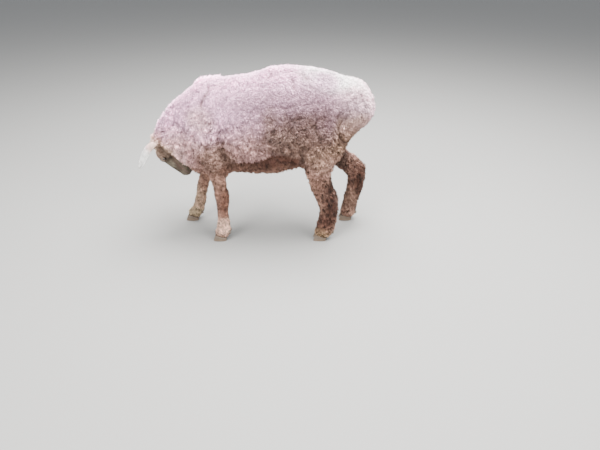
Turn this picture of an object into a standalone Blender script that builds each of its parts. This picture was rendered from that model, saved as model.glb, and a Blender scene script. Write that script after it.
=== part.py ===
"""A shorn fat-rumped sheep at life size, standing in mid-stride with its head tucked down to its breast.

Metres, +Z up. The sheep faces -X and its left side is -Y. The floor is z = 0, and the origin is on the floor
under the middle of the animal. Every form is a loft, a closed skin of rings between two lines drawn on the
animal's side, or an ellipsoid for a muscle or a pad of fat. Trunk, neck, rump and legs are fused into one smooth
body, the head is fused apart from finer forms, and both are then parted with thin cuts. Ears, eyes, hooves and
dewclaws are made on their own and fitted.
"""

import math

import bmesh
import bpy
import numpy as np
from mathutils import Matrix, Vector

GAP = 0.0004  # between neighbouring solids
LEFT, RIGHT = -1.0, 1.0  # the sign of y on either side
SIDES = (("left", LEFT), ("right", RIGHT))

# How finely the fused forms are made, how far they are smoothed, and how many triangles they keep.
BODY_VOXEL = 0.008
BODY_SMOOTHING = 5
BODY_TRIANGLES = 3000
HEAD_VOXEL = 0.003
HEAD_SMOOTHING = 5
HEAD_TRIANGLES = 2000
HOLLOW_SMOOTHING = 60
HOLLOW_WEIGHT = 0.5  # how far a point moves towards its neighbours in one round, at most

# How full a ring is: 2 is an ellipse, and more is nearer to a rounded box.
LIMB_SQUARENESS = 2.3
CLAW_SQUARENESS = 2.8
LIMB_POINTS = 40  # on a ring of the trunk, neck, legs and head
LIMB_STEPS = 4  # rings from one station to the next

# Side lines of the body. Each station is: x and z on the upper or front line, x and z on the lower or back
# line, y of the middle, half width. Between stations a smooth curve runs.
TRUNK = (
    (-0.285, 0.610, -0.268, 0.430, 0.0, 0.060),
    (-0.255, 0.696, -0.250, 0.338, 0.0, 0.108),
    (-0.205, 0.738, -0.205, 0.318, 0.0, 0.135),
    (-0.120, 0.747, -0.120, 0.328, 0.0, 0.155),
    (-0.020, 0.759, -0.020, 0.328, 0.0, 0.178),
    (0.080, 0.782, 0.080, 0.326, 0.0, 0.188),
    (0.160, 0.789, 0.150, 0.344, 0.0, 0.184),
    (0.250, 0.784, 0.240, 0.378, 0.0, 0.168),
    (0.340, 0.767, 0.330, 0.420, 0.0, 0.148),
    (0.420, 0.732, 0.395, 0.490, 0.0, 0.132),
)
NECK = (
    (-0.120, 0.742, -0.150, 0.332, 0.0, 0.120),
    (-0.207, 0.741, -0.215, 0.322, 0.0, 0.124),
    (-0.273, 0.707, -0.262, 0.312, 0.0, 0.116),
    (-0.345, 0.650, -0.300, 0.337, 0.0, 0.102),
    (-0.398, 0.594, -0.328, 0.372, 0.0, 0.090),
    (-0.438, 0.540, -0.350, 0.406, 0.0, 0.078),
    (-0.458, 0.500, -0.372, 0.440, 0.0, 0.064),
)
LEFT_FORELEG = (
    (-0.215, 0.640, -0.085, 0.640, -0.085, 0.040),
    (-0.262, 0.520, -0.090, 0.520, -0.100, 0.052),
    (-0.262, 0.430, -0.105, 0.440, -0.106, 0.052),
    (-0.226, 0.365, -0.128, 0.385, -0.106, 0.043),
    (-0.208, 0.325, -0.131, 0.335, -0.103, 0.036),
    (-0.200, 0.280, -0.132, 0.282, -0.100, 0.031),
    (-0.196, 0.235, -0.131, 0.235, -0.098, 0.032),
    (-0.191, 0.170, -0.139, 0.168, -0.097, 0.026),
    (-0.194, 0.120, -0.139, 0.112, -0.097, 0.026),
    (-0.200, 0.075, -0.133, 0.062, -0.097, 0.029),
    (-0.216, 0.034, -0.152, 0.014, -0.097, 0.029),
)
RIGHT_FORELEG = (
    (-0.215, 0.640, -0.085, 0.640, 0.085, 0.040),
    (-0.265, 0.520, -0.095, 0.520, 0.100, 0.052),
    (-0.270, 0.430, -0.130, 0.440, 0.106, 0.050),
    (-0.268, 0.365, -0.178, 0.385, 0.105, 0.043),
    (-0.276, 0.315, -0.206, 0.330, 0.102, 0.037),
    (-0.292, 0.268, -0.230, 0.275, 0.098, 0.033),
    (-0.309, 0.225, -0.251, 0.222, 0.096, 0.031),
    (-0.322, 0.175, -0.268, 0.166, 0.095, 0.026),
    (-0.334, 0.122, -0.281, 0.108, 0.095, 0.026),
    (-0.354, 0.080, -0.297, 0.058, 0.095, 0.029),
    (-0.386, 0.036, -0.322, 0.014, 0.095, 0.029),
)
LEFT_HIND_LEG = (
    (0.215, 0.690, 0.375, 0.680, -0.072, 0.050),
    (0.172, 0.560, 0.415, 0.570, -0.098, 0.064),
    (0.162, 0.470, 0.396, 0.500, -0.110, 0.062),
    (0.190, 0.405, 0.360, 0.435, -0.112, 0.053),
    (0.222, 0.350, 0.338, 0.372, -0.107, 0.045),
    (0.238, 0.304, 0.338, 0.312, -0.102, 0.038),
    (0.252, 0.258, 0.358, 0.264, -0.098, 0.035),
    (0.270, 0.214, 0.373, 0.216, -0.096, 0.036),
    (0.284, 0.160, 0.371, 0.158, -0.095, 0.034),
    (0.283, 0.112, 0.369, 0.102, -0.095, 0.033),
    (0.274, 0.070, 0.360, 0.052, -0.095, 0.034),
    (0.264, 0.034, 0.330, 0.014, -0.095, 0.030),
)
RIGHT_HIND_LEG = (
    (0.215, 0.690, 0.375, 0.680, 0.072, 0.050),
    (0.180, 0.560, 0.425, 0.570, 0.098, 0.064),
    (0.196, 0.460, 0.425, 0.500, 0.110, 0.061),
    (0.250, 0.385, 0.396, 0.428, 0.111, 0.052),
    (0.306, 0.335, 0.426, 0.382, 0.108, 0.045),
    (0.368, 0.296, 0.472, 0.340, 0.103, 0.038),
    (0.414, 0.266, 0.515, 0.302, 0.100, 0.036),
    (0.432, 0.232, 0.520, 0.244, 0.098, 0.036),
    (0.430, 0.186, 0.511, 0.184, 0.097, 0.034),
    (0.419, 0.140, 0.497, 0.132, 0.096, 0.032),
    (0.409, 0.095, 0.487, 0.084, 0.096, 0.033),
    (0.405, 0.060, 0.482, 0.042, 0.096, 0.033),
    (0.402, 0.034, 0.466, 0.014, 0.096, 0.030),
)

# Muscles and fat on either side, as ellipsoids: middle on the left, radii.
PAIRED_MASSES = {
    "upper rump": ((0.414, -0.056, 0.636), (0.100, 0.098, 0.098)),
    "lower rump": ((0.376, -0.062, 0.590), (0.090, 0.090, 0.094)),
    "shoulder": ((-0.185, -0.082, 0.500), (0.095, 0.058, 0.130)),
    "thigh": ((0.300, -0.100, 0.525), (0.112, 0.070, 0.135)),
}
MIDDLE_MASSES = {
    "rump between the lobes": ((0.388, 0.0, 0.640), (0.110, 0.090, 0.110)),
    "small tail in the cleft": ((0.480, 0.0, 0.600), (0.032, 0.020, 0.056)),
}

# Where two forms meet in a hollow that the hide spans softly: middle, reach.
SOFT_HOLLOWS = {
    "left armpit": ((-0.150, -0.080, 0.360), 0.10),
    "right armpit": ((-0.200, 0.080, 0.360), 0.10),
    "left flank": ((0.190, -0.120, 0.440), 0.12),
    "right flank": ((0.220, 0.120, 0.440), 0.12),
    "left groin": ((0.290, -0.050, 0.400), 0.08),
    "right groin": ((0.330, 0.050, 0.400), 0.08),
    "left buttock": ((0.395, -0.100, 0.500), 0.07),
    "right buttock": ((0.420, 0.100, 0.490), 0.07),
    "withers": ((-0.210, 0.000, 0.700), 0.14),
    "loin": ((0.370, 0.000, 0.740), 0.12),
    "left of the breast": ((-0.275, -0.110, 0.470), 0.10),
    "right of the breast": ((-0.275, 0.110, 0.470), 0.10),
}

# The head has its own axes: u from the poll to the nose, v to the animal's left, w from the middle to the brow.
# Each station is: u, w of the brow line, w of the jaw line, half width near the brow, half width near the jaw.
POLL = Vector((-0.440, 0.0, 0.486))
FACE_TUCK = math.radians(26)  # how far the face is past the vertical, nose to the breast
FACE_TURN = math.radians(12)  # how far the nose is swung to the animal's right
HEAD = (
    (-0.014, 0.026, -0.030, 0.030, 0.030),
    (0.000, 0.040, -0.046, 0.048, 0.040),
    (0.030, 0.045, -0.060, 0.058, 0.050),
    (0.060, 0.051, -0.062, 0.059, 0.050),
    (0.090, 0.056, -0.056, 0.054, 0.046),
    (0.120, 0.053, -0.047, 0.045, 0.040),
    (0.150, 0.046, -0.039, 0.038, 0.036),
    (0.180, 0.036, -0.034, 0.034, 0.033),
    (0.208, 0.027, -0.032, 0.032, 0.030),
    (0.227, 0.016, -0.026, 0.025, 0.024),
    (0.237, 0.002, -0.012, 0.011, 0.011),
)
# Bone and muscle on either side of the head, as ellipsoids in its axes: middle on the left, radii.
PAIRED_HEAD_MASSES = {
    "cheek": ((0.078, 0.030, -0.022), (0.046, 0.030, 0.036)),
    "brow": ((0.072, 0.038, 0.036), (0.026, 0.020, 0.018)),
    "lids": ((0.086, 0.041, 0.028), (0.0180, 0.0165, 0.0165)),
    "nostril": ((0.212, 0.014, 0.006), (0.018, 0.014, 0.016)),
}
EYE_RADII = (0.0135, 0.0135, 0.0135)
EYE = (0.086, 0.0485, 0.028)  # the left eyeball's middle

# Ears hang from the sides of the poll. The left one is given, and the right one mirrors it.
EAR_LENGTH = 0.146
EAR_ROOT = Vector((-0.439, -0.068, 0.479))
EAR_START = Vector((-0.42, -0.60, -0.14)).normalized()  # the way it leaves the head
EAR_END = Vector((-0.50, -0.05, -0.85)).normalized()  # the way its tip hangs
EAR_BEND = 0.45  # the share of its length over which it turns from one way to the other
EAR_BACK = Vector((0.25, -0.55, 0.80))  # the side that its back turns to
# Each station is: the share of the length, half width, half thickness, and the depth of the hollow inside.
EAR = (
    (0.00, 0.0170, 0.0110, 0.000),
    (0.10, 0.0180, 0.0085, 0.003),
    (0.25, 0.0195, 0.0050, 0.006),
    (0.45, 0.0195, 0.0034, 0.006),
    (0.65, 0.0165, 0.0028, 0.005),
    (0.85, 0.0120, 0.0024, 0.003),
    (0.96, 0.0080, 0.0020, 0.001),
    (1.00, 0.0030, 0.0010, 0.000),
)
EAR_STUMP = (-0.18, 0.0, 0.06)  # shares of the length at the rings of its root inside the head
EAR_POINTS = 10  # on a ring of the ear

# Hooves: two claws to each foot. Feet are x and y of the middle of the coronet, and x of the dewclaws.
FEET = {
    "fore_left": (-0.184, -0.097, -0.141),
    "fore_right": (-0.354, 0.095, -0.306),
    "hind_left": (0.297, -0.095, 0.352),
    "hind_right": (0.434, 0.096, 0.480),
}
CLAW_LENGTH = 0.064
CLAW_HALF_WIDTH = 0.0128
CLAW_SPREAD = 0.0152  # from the foot's middle line to the claw's
CLAW_TOE_OUT = math.radians(4)
CLAW_NARROWING = 0.30  # the share of its width that a claw loses at the toe
TOE_HEIGHT = 0.032
HEEL_HEIGHT = 0.014
CORONET_HALF_LENGTH = 0.026
DEWCLAW_RADII = (0.0078, 0.0068, 0.0098)
DEWCLAW_HEIGHT = 0.046
DEWCLAW_SPREAD = 0.0135  # from the foot's middle line

SHARP_EDGE = math.radians(50)  # edges that turn by more than this are shaded sharp
COLOURS = {
    "fleece": (0.62, 0.50, 0.44, 1.0),
    "face_hair": (0.42, 0.32, 0.26, 1.0),
    "white_hair": (0.82, 0.79, 0.74, 1.0),
    "leg_hair": (0.45, 0.27, 0.19, 1.0),
    "eye": (0.10, 0.06, 0.02, 1.0),
    "horn": (0.20, 0.16, 0.12, 1.0),
}


# ---------------------------------------------------------------- forms

def smooth_stations(stations, steps):
    """Put a few more stations between each two, on a Catmull-Rom curve through all of them."""
    rows = np.array(stations, dtype=float)
    before = np.vstack([rows[:1], rows[:-2]])
    start, end = rows[:-1], rows[1:]
    after = np.vstack([rows[2:], rows[-1:]])
    filled = []
    for a, b, c, d in zip(before, start, end, after):
        for t in np.arange(steps) / steps:
            filled.append(0.5 * (2 * b + (c - a) * t + (2 * a - 5 * b + 4 * c - d) * t ** 2
                                 + (3 * b - 3 * c + d - a) * t ** 3))
    filled.append(rows[-1])
    return np.array(filled)


def rounded(angle, squareness):
    """Cosine and sine of an angle, pushed outwards so that a ring is fuller than an ellipse."""
    cosine, sine = np.cos(angle), np.sin(angle)
    power = 2.0 / squareness
    return np.sign(cosine) * np.abs(cosine) ** power, np.sign(sine) * np.abs(sine) ** power


def close_rings(mesh, rings):
    """Join rings of points into a closed skin with a flat cap at each end."""
    loops = [[mesh.verts.new(point) for point in ring] for ring in rings]
    count = len(loops[0])
    faces = []
    for lower, upper in zip(loops, loops[1:]):
        for i in range(count):
            j = (i + 1) % count
            faces.append(mesh.faces.new((lower[i], lower[j], upper[j], upper[i])))
    faces.append(mesh.faces.new(loops[0][::-1]))
    faces.append(mesh.faces.new(loops[-1]))
    bmesh.ops.recalc_face_normals(mesh, faces=faces)


def add_limb(mesh, stations):
    """Loft a trunk, neck or leg between its two side lines."""
    angle = np.linspace(0, 2 * math.pi, LIMB_POINTS, endpoint=False)
    along, across = rounded(angle, LIMB_SQUARENESS)
    rings = []
    for x0, z0, x1, z1, y, half_width in smooth_stations(stations, LIMB_STEPS):
        ring_x = (x0 + x1) / 2 + (x0 - x1) / 2 * along
        ring_z = (z0 + z1) / 2 + (z0 - z1) / 2 * along
        rings.append(np.column_stack([ring_x, y + half_width * across, ring_z]))
    close_rings(mesh, rings)


def add_ellipsoid(mesh, middle, radii, frame=None, rings=16, count=24):
    """Add an ellipsoid, in the world's axes or in those of a frame."""
    placed = Matrix.Translation(middle) @ Matrix.Diagonal((*radii, 1.0))
    if frame is not None:
        placed = frame @ placed
    bmesh.ops.create_uvsphere(mesh, u_segments=count, v_segments=rings, radius=1.0, matrix=placed)


def mirrored(point, side):
    """A point given on the left, as it lies on one side."""
    return Vector((point[0], -point[1] * side, point[2]))


def head_frame():
    """The head's axes u, v, w as columns, with the poll as their origin."""
    down = Vector((math.sin(FACE_TUCK), 0.0, -math.cos(FACE_TUCK)))
    left = Vector((0.0, -1.0, 0.0))
    u = down * math.cos(FACE_TURN) - left * math.sin(FACE_TURN)
    v = left * math.cos(FACE_TURN) + down * math.sin(FACE_TURN)
    w = u.cross(v)
    frame = Matrix((u, v, w)).transposed().to_4x4()
    frame.translation = POLL
    return frame


def add_head_forms(mesh):
    """Loft the head, and add its cheeks, brows, lids and nostrils."""
    frame = head_frame()
    angle = np.linspace(0, 2 * math.pi, LIMB_POINTS, endpoint=False)
    up, across = rounded(angle, LIMB_SQUARENESS)
    rings = []
    for u, brow, jaw, wide_brow, wide_jaw in smooth_stations(HEAD, LIMB_STEPS):
        w = (brow + jaw) / 2 + (brow - jaw) / 2 * up
        v = (wide_brow * (1 + up) + wide_jaw * (1 - up)) / 2 * across
        rings.append([frame @ Vector((u, b, c)) for b, c in zip(v, w)])
    close_rings(mesh, rings)
    for (u, v, w), radii in PAIRED_HEAD_MASSES.values():
        for side in (1, -1):
            add_ellipsoid(mesh, (u, v * side, w), radii, frame)


def new_object(name, mesh):
    """Make an object of a bmesh and free the bmesh."""
    data = bpy.data.meshes.new(name)
    mesh.to_mesh(data)
    mesh.free()
    made = bpy.data.objects.new(name, data)
    bpy.context.scene.collection.objects.link(made)
    return made


def apply_modifiers(made):
    """Give an object the mesh that its modifiers make, and drop the modifiers."""
    graph = bpy.context.evaluated_depsgraph_get()
    graph.update()
    mesh = bpy.data.meshes.new_from_object(made.evaluated_get(graph))
    made.modifiers.clear()
    made.data = mesh


def relax(mesh, weights, rounds):
    """Move each point towards the mean of its neighbours, by its weight, some rounds over."""
    count = len(mesh.vertices)
    points = np.empty(count * 3)
    mesh.vertices.foreach_get("co", points)
    points = points.reshape(-1, 3)
    ends = np.empty(len(mesh.edges) * 2, dtype=np.int64)
    mesh.edges.foreach_get("vertices", ends)
    first, second = ends[0::2], ends[1::2]
    valence = np.bincount(ends, minlength=count)
    for _ in range(rounds):
        mean = np.empty_like(points)
        for axis in range(3):
            total = np.bincount(first, points[second, axis], count)
            total += np.bincount(second, points[first, axis], count)
            mean[:, axis] = total / valence
        points += (mean - points) * weights[:, None]
    mesh.vertices.foreach_set("co", points.ravel())
    mesh.update()


def fuse(made, voxel, smoothing, triangles, hollows=()):
    """Fuse overlapping forms into one skin, smooth it, soften its hollows, and thin out its triangles."""
    remesh = made.modifiers.new("fuse", "REMESH")
    remesh.mode = "VOXEL"
    remesh.voxel_size = voxel
    apply_modifiers(made)
    count = len(made.data.vertices)
    points = np.empty(count * 3)
    made.data.vertices.foreach_get("co", points)
    points = points.reshape(-1, 3)
    relax(made.data, np.full(count, 0.5), smoothing)
    weights = np.zeros(count)
    for middle, reach in hollows:
        distance = np.linalg.norm(points - np.array(middle), axis=1) / reach
        weights = np.maximum(weights, HOLLOW_WEIGHT * np.clip(1 - distance, 0, 1))
    relax(made.data, weights, HOLLOW_SMOOTHING)
    thin = made.modifiers.new("thin", "DECIMATE")
    thin.ratio = triangles / (2 * len(made.data.polygons))  # each face is two triangles
    apply_modifiers(made)
    return made


# ---------------------------------------------------------------- cuts

def prism(outline, middle, first, second, third, low, high):
    """A closed cutter: an outline in the first and second axes, carried along the third from low to high."""
    mesh = bmesh.new()
    rings = []
    for reach in (low, high):
        rings.append([middle + first * a + second * b + third * reach for a, b in outline])
    close_rings(mesh, rings)
    return new_object("cutter", mesh)


def cut(name, body, cutter, operation):
    """A new object: the body met by, or less, the cutter."""
    made = bpy.data.objects.new(name, body.data.copy())
    bpy.context.scene.collection.objects.link(made)
    boolean = made.modifiers.new("cut", "BOOLEAN")
    boolean.object = cutter
    boolean.operation = operation
    boolean.solver = "EXACT"
    apply_modifiers(made)
    return made


def drop(*objects):
    """Remove objects that the model no longer needs."""
    for gone in objects:
        bpy.data.objects.remove(gone, do_unlink=True)


def part_off(name, body, region):
    """Part a body: what lies in the region gets the name, and what lies a gap outside it is the rest."""
    inner, outer = region(0.0), region(GAP)
    piece = cut(name, body, inner, "INTERSECT")
    rest = cut("rest", body, outer, "DIFFERENCE")
    drop(body, inner, outer)
    return piece, rest


def grown(outline, gap):
    """An outline, given counter-clockwise, with every side moved outwards by a gap."""
    points = [Vector(point) for point in outline]
    moved = []
    for before, here, after in zip(points[-1:] + points[:-1], points, points[1:] + points[:1]):
        first = (here - before).normalized()
        second = (after - here).normalized()
        first_out, second_out = Vector((first.y, -first.x)), Vector((second.y, -second.x))
        moved.append(here + (first_out + second_out) * gap / (1 + first_out.dot(second_out)))
    return moved


# The regions that the cuts part off, as outlines seen from the side. Those of the legs are arches that stand on
# the floor, carried from the animal's middle outwards.
X_AXIS, Y_AXIS, Z_AXIS = Vector((1, 0, 0)), Vector((0, 1, 0)), Vector((0, 0, 1))
LEG_INNER = 0.046  # y of the legs' inner cuts
HEAD_HALF_WIDTH = 0.12  # past the roots of the ears, short of the legs
BEYOND = 0.40  # past the animal's sides
BELOW = -0.05
NECK_REGION = ((-0.205, 0.85), (-0.70, 0.85), (-0.70, 0.20), (-0.240, 0.20))
RUMP_REGION = ((0.345, 0.85), (0.412, 0.40), (0.70, 0.40), (0.70, 0.85))
HEAD_REGION = ((-0.100, 0.10), (0.020, -0.070), (0.085, -0.070), (0.150, -0.043), (0.248, -0.043), (0.248, 0.10))
LEG_ARCHES = {  # middle of the arch, half length, height, and where it meets the floor
    "fore_left": ((-0.165, 0.385), 0.102, 0.115, (-0.32, 0.00)),
    "fore_right": ((-0.185, 0.385), 0.105, 0.115, (-0.50, -0.10)),
    "hind_left": ((0.288, 0.430), 0.138, 0.160, (0.15, 0.46)),
    "hind_right": ((0.308, 0.430), 0.138, 0.160, (0.20, 0.85)),
}


def side_region(outline):
    """A region from one side of the animal to the other, ready to be grown by a gap."""
    return lambda gap: prism(grown(outline, gap), Vector(), X_AXIS, Z_AXIS, Y_AXIS, -BEYOND, BEYOND)


def head_region(gap):
    """The head's region, in the head's own axes."""
    frame = head_frame()
    u, v, w = (frame.col[i].to_3d() for i in range(3))
    return prism(grown(HEAD_REGION, gap), frame.translation, u, w, v, -HEAD_HALF_WIDTH, HEAD_HALF_WIDTH)


def leg_region(name):
    """A leg's region: its arch over its share of the floor, from its inner cut outwards."""
    (x, z), half_length, height, (front, back) = LEG_ARCHES[name]
    side = LEFT if name.endswith("left") else RIGHT
    outline = [(front, BELOW), (back, BELOW)]
    for angle in np.linspace(0, math.pi, 17):
        outline.append((x + half_length * math.cos(angle), z + height * math.sin(angle)))

    def region(gap):
        return prism(grown(outline, gap), Vector(), X_AXIS, Z_AXIS, Y_AXIS * side, LEG_INNER - gap, BEYOND)
    return region


# ---------------------------------------------------------------- ears, eyes and feet

def ear_line(side, share):
    """Where the ear's middle line is at a share of its length, and its axes: along, across, and off its back."""
    steps = 64
    start, end = mirrored(EAR_START, side), mirrored(EAR_END, side)
    point = mirrored(EAR_ROOT, side)
    direction = start
    for i in range(steps):
        if (i + 0.5) / steps > share:
            break
        bend = min(1.0, (i + 0.5) / steps / EAR_BEND)
        direction = start.lerp(end, bend * bend * (3 - 2 * bend)).normalized()
        point = point + direction * EAR_LENGTH / steps
    if share < 0:
        point = point + start * EAR_LENGTH * share
    back = mirrored(EAR_BACK, side)
    back = (back - direction * back.dot(direction)).normalized()
    return point, direction, direction.cross(back), back


def ear_rings(side, stations):
    """Rings of the ear: a roll at the root that opens into a hollow leaf."""
    rings = []
    for share, half_width, half_thickness, hollow in stations:
        middle, _, across, back = ear_line(side, share)
        ring = []
        for angle in np.linspace(0, 2 * math.pi, EAR_POINTS, endpoint=False):
            a = half_width * math.cos(angle)
            b = half_thickness * math.sin(angle) + hollow * math.sin(angle) ** 2
            ring.append(middle + across * a + back * b)
        rings.append(ring)
    return rings


def add_ear_stump(mesh, side):
    """The part of the ear's root that belongs to the head, from inside the skull to past the cut."""
    _, half_width, half_thickness, _ = EAR[0]  # at the cut
    close_rings(mesh, ear_rings(side, [(share, half_width, half_thickness, 0) for share in EAR_STUMP]))


def ear_root_cutter(side):
    """A block that takes off the stump where the ear begins."""
    point, along, across, back = ear_line(side, 0.0)
    reach = 1.3 * EAR[0][1]
    outline = ((-reach, -reach), (reach, -reach), (reach, reach), (-reach, reach))
    return prism(outline, point, across, back, along, -GAP, reach)


def make_ear(name, side):
    """The free ear, from the cut at its root to its tip."""
    mesh = bmesh.new()
    close_rings(mesh, ear_rings(side, smooth_stations(EAR, 2)))
    return new_object(name, mesh)


def eye_middle(side):
    """An eyeball's middle in the world."""
    u, v, w = EYE
    return head_frame() @ Vector((u, -v * side, w))


def make_ball(name, middle, radii, rings, count):
    """An eyeball or a dewclaw, or the socket that it lies in."""
    mesh = bmesh.new()
    add_ellipsoid(mesh, middle, radii, rings=rings, count=count)
    return new_object(name, mesh)


def seat_ball(name, middle, radii, rings, count, holder):
    """A ball in a socket that leaves a gap around it: the ball, and its holder with the socket."""
    ball = make_ball(name, middle, radii, rings, count)
    socket = make_ball("socket", middle, [radius + GAP for radius in radii], rings, count)
    with_socket = cut("holder", holder, socket, "DIFFERENCE")
    kept_name = holder.name
    drop(holder, socket)
    with_socket.name = kept_name
    return ball, with_socket


def coronet(x):
    """The slanted line where skin meets horn: its height at a distance behind the foot's middle."""
    return (TOE_HEIGHT + HEEL_HEIGHT) / 2 - (TOE_HEIGHT - HEEL_HEIGHT) / 2 * x / CORONET_HALF_LENGTH


def foot_cutter(name):
    """A block that takes off a leg along its coronet."""
    x, y, _ = FEET[name]
    reach = CLAW_LENGTH
    outline = ((-reach, BELOW), (reach, BELOW), (reach, coronet(reach)), (-reach, coronet(-reach)))
    return prism(outline, Vector((x, y, 0)), X_AXIS, Z_AXIS, Y_AXIS, -reach, reach)


def make_claw(name, foot, inner):
    """One claw: a flat sole, pointed at the toe, under a shorter top that follows the coronet."""
    x, y, _ = FEET[foot]
    side = LEFT if foot.endswith("left") else RIGHT
    out = -side if inner else side
    turn = Matrix.Rotation(-out * CLAW_TOE_OUT, 4, "Z")
    place = Matrix.Translation((x, y + out * CLAW_SPREAD, 0)) @ turn
    heel = CORONET_HALF_LENGTH
    toe = heel - CLAW_LENGTH
    angle = np.linspace(0, 2 * math.pi, 12, endpoint=False)
    lengthways, sideways = rounded(angle, CLAW_SQUARENESS)
    toe_share = (1 - lengthways) / 2  # 1 at the toe, 0 at the heel
    half_width = CLAW_HALF_WIDTH * (1 - CLAW_NARROWING * toe_share ** 2)
    rings = []
    for share in (0.0, 0.5, 1.0):  # of the way up from the sole to the coronet
        front = toe * (1 - share) - CORONET_HALF_LENGTH * share
        ring_x = (front + heel) / 2 + (heel - front) / 2 * lengthways
        height = share * (coronet(ring_x) - GAP)
        rings.append([place @ Vector(point) for point in zip(ring_x, half_width * sideways, height)])
    mesh = bmesh.new()
    close_rings(mesh, rings)
    return new_object(name, mesh)


# ---------------------------------------------------------------- the sheep

def paint(made, colour, roughness):
    """Give a node its own material, and shade it smooth but for its sharp edges."""
    material = bpy.data.materials.new(made.name)
    material.use_nodes = True
    shader = material.node_tree.nodes["Principled BSDF"]
    shader.inputs["Base Color"].default_value = COLOURS[colour]
    shader.inputs["Roughness"].default_value = roughness
    shader.inputs["Metallic"].default_value = 0.0
    made.data.materials.clear()
    made.data.materials.append(material)
    made.data.shade_smooth()
    made.data.set_sharp_from_angle(angle=SHARP_EDGE)


def make_body():
    """The whole animal in one skin, without ears, eyes and hooves."""
    mesh = bmesh.new()
    for stations in (TRUNK, NECK, LEFT_FORELEG, RIGHT_FORELEG, LEFT_HIND_LEG, RIGHT_HIND_LEG):
        add_limb(mesh, stations)
    for middle, radii in PAIRED_MASSES.values():
        for side in (LEFT, RIGHT):
            add_ellipsoid(mesh, mirrored(middle, side), radii)
    for middle, radii in MIDDLE_MASSES.values():
        add_ellipsoid(mesh, middle, radii)
    add_head_forms(mesh)
    whole = new_object("whole", mesh)
    return fuse(whole, BODY_VOXEL, BODY_SMOOTHING, BODY_TRIANGLES, SOFT_HOLLOWS.values())


def make_head():
    """The head from finer forms, with the roots of the ears and the eyeballs in their sockets."""
    mesh = bmesh.new()
    add_limb(mesh, NECK[-4:])
    add_head_forms(mesh)
    for side in (LEFT, RIGHT):
        add_ear_stump(mesh, side)
    whole = fuse(new_object("whole head", mesh), HEAD_VOXEL, HEAD_SMOOTHING, HEAD_TRIANGLES)
    head, rest = part_off("head", whole, head_region)
    drop(rest)
    eyes = []
    for word, side in SIDES:
        cutter = ear_root_cutter(side)
        shorter = cut("shorter", head, cutter, "DIFFERENCE")
        drop(head, cutter)
        eye, head = seat_ball("eye_" + word, eye_middle(side), EYE_RADII, 8, 14, shorter)
        eyes.append(eye)
    head.name = "head"
    return head, eyes


def make_leg(foot, body):
    """Part a leg off the body, end it at its coronet, and seat its dewclaws: leg, dewclaws, rest of the body."""
    leg, rest = part_off("whole leg", body, leg_region(foot))
    cutter = foot_cutter(foot)
    trimmed = cut("trimmed leg", leg, cutter, "DIFFERENCE")
    drop(leg, cutter)
    _, y, x = FEET[foot]
    dewclaws = []
    for word, out in (("inner", -1), ("outer", 1)):
        side = LEFT if foot.endswith("left") else RIGHT
        middle = (x, y + side * out * DEWCLAW_SPREAD, DEWCLAW_HEIGHT)
        claw, trimmed = seat_ball(f"dewclaw_{foot}_{word}", middle, DEWCLAW_RADII, 5, 8, trimmed)
        dewclaws.append(claw)
    trimmed.name = "leg_" + foot
    return trimmed, dewclaws, rest


def centre_on_origin():
    """Slide every node along the floor until the origin is under the middle of the whole animal."""
    corners = []
    for node in bpy.data.objects:
        points = np.empty(len(node.data.vertices) * 3)
        node.data.vertices.foreach_get("co", points)
        points = points.reshape(-1, 3)
        corners += [points.min(axis=0), points.max(axis=0)]
    middle = (np.min(corners, axis=0) + np.max(corners, axis=0)) / 2
    for node in bpy.data.objects:
        node.data.transform(Matrix.Translation((-middle[0], -middle[1], 0.0)))


def main():
    """Build every node."""
    for old in list(bpy.data.objects):
        bpy.data.objects.remove(old, do_unlink=True)

    body = make_body()
    front, body = part_off("front", body, head_region)
    drop(front)
    head, eyes = make_head()
    paint(head, "face_hair", 0.9)
    for eye in eyes:
        paint(eye, "eye", 0.1)
    for foot in FEET:
        leg, dewclaws, body = make_leg(foot, body)
        paint(leg, "leg_hair", 0.9)
        claws = [make_claw(f"claw_{foot}_inner", foot, True), make_claw(f"claw_{foot}_outer", foot, False)]
        for claw in claws + dewclaws:
            paint(claw, "horn", 0.6)
    neck, body = part_off("neck", body, side_region(NECK_REGION))
    rump, body = part_off("rump", body, side_region(RUMP_REGION))
    body.name = "trunk"
    for piece in (neck, rump, body):
        paint(piece, "fleece", 0.95)
    for word, side in SIDES:
        paint(make_ear("ear_" + word, side), "white_hair", 0.9)
    centre_on_origin()


main()
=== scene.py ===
import itertools
import math

import bmesh
import bpy
import numpy as np
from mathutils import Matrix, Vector
from mathutils.bvhtree import BVHTree


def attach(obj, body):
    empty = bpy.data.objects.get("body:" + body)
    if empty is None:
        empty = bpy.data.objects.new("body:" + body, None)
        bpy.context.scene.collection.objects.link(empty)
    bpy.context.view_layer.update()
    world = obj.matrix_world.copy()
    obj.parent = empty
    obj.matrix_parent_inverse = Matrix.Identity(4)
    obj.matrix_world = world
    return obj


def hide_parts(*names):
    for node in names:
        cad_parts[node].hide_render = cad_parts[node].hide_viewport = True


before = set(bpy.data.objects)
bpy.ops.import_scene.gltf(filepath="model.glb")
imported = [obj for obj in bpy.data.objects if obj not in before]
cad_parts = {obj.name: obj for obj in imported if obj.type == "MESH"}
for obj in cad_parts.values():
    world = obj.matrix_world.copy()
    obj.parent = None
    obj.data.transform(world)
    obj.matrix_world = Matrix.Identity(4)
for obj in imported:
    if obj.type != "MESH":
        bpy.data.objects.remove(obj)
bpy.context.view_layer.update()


# ---------------------------------------------------------------- camera
# The sheep is seen from its left and from above, as by someone who stands on a bank about 2 m away.
# The lens is a wide one, level from side to side, and looks down at the animal's barrel.

CAMERA_PLACE = (0.1964, -1.969, 1.247)
CAMERA_TILT = math.radians(58)


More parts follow.
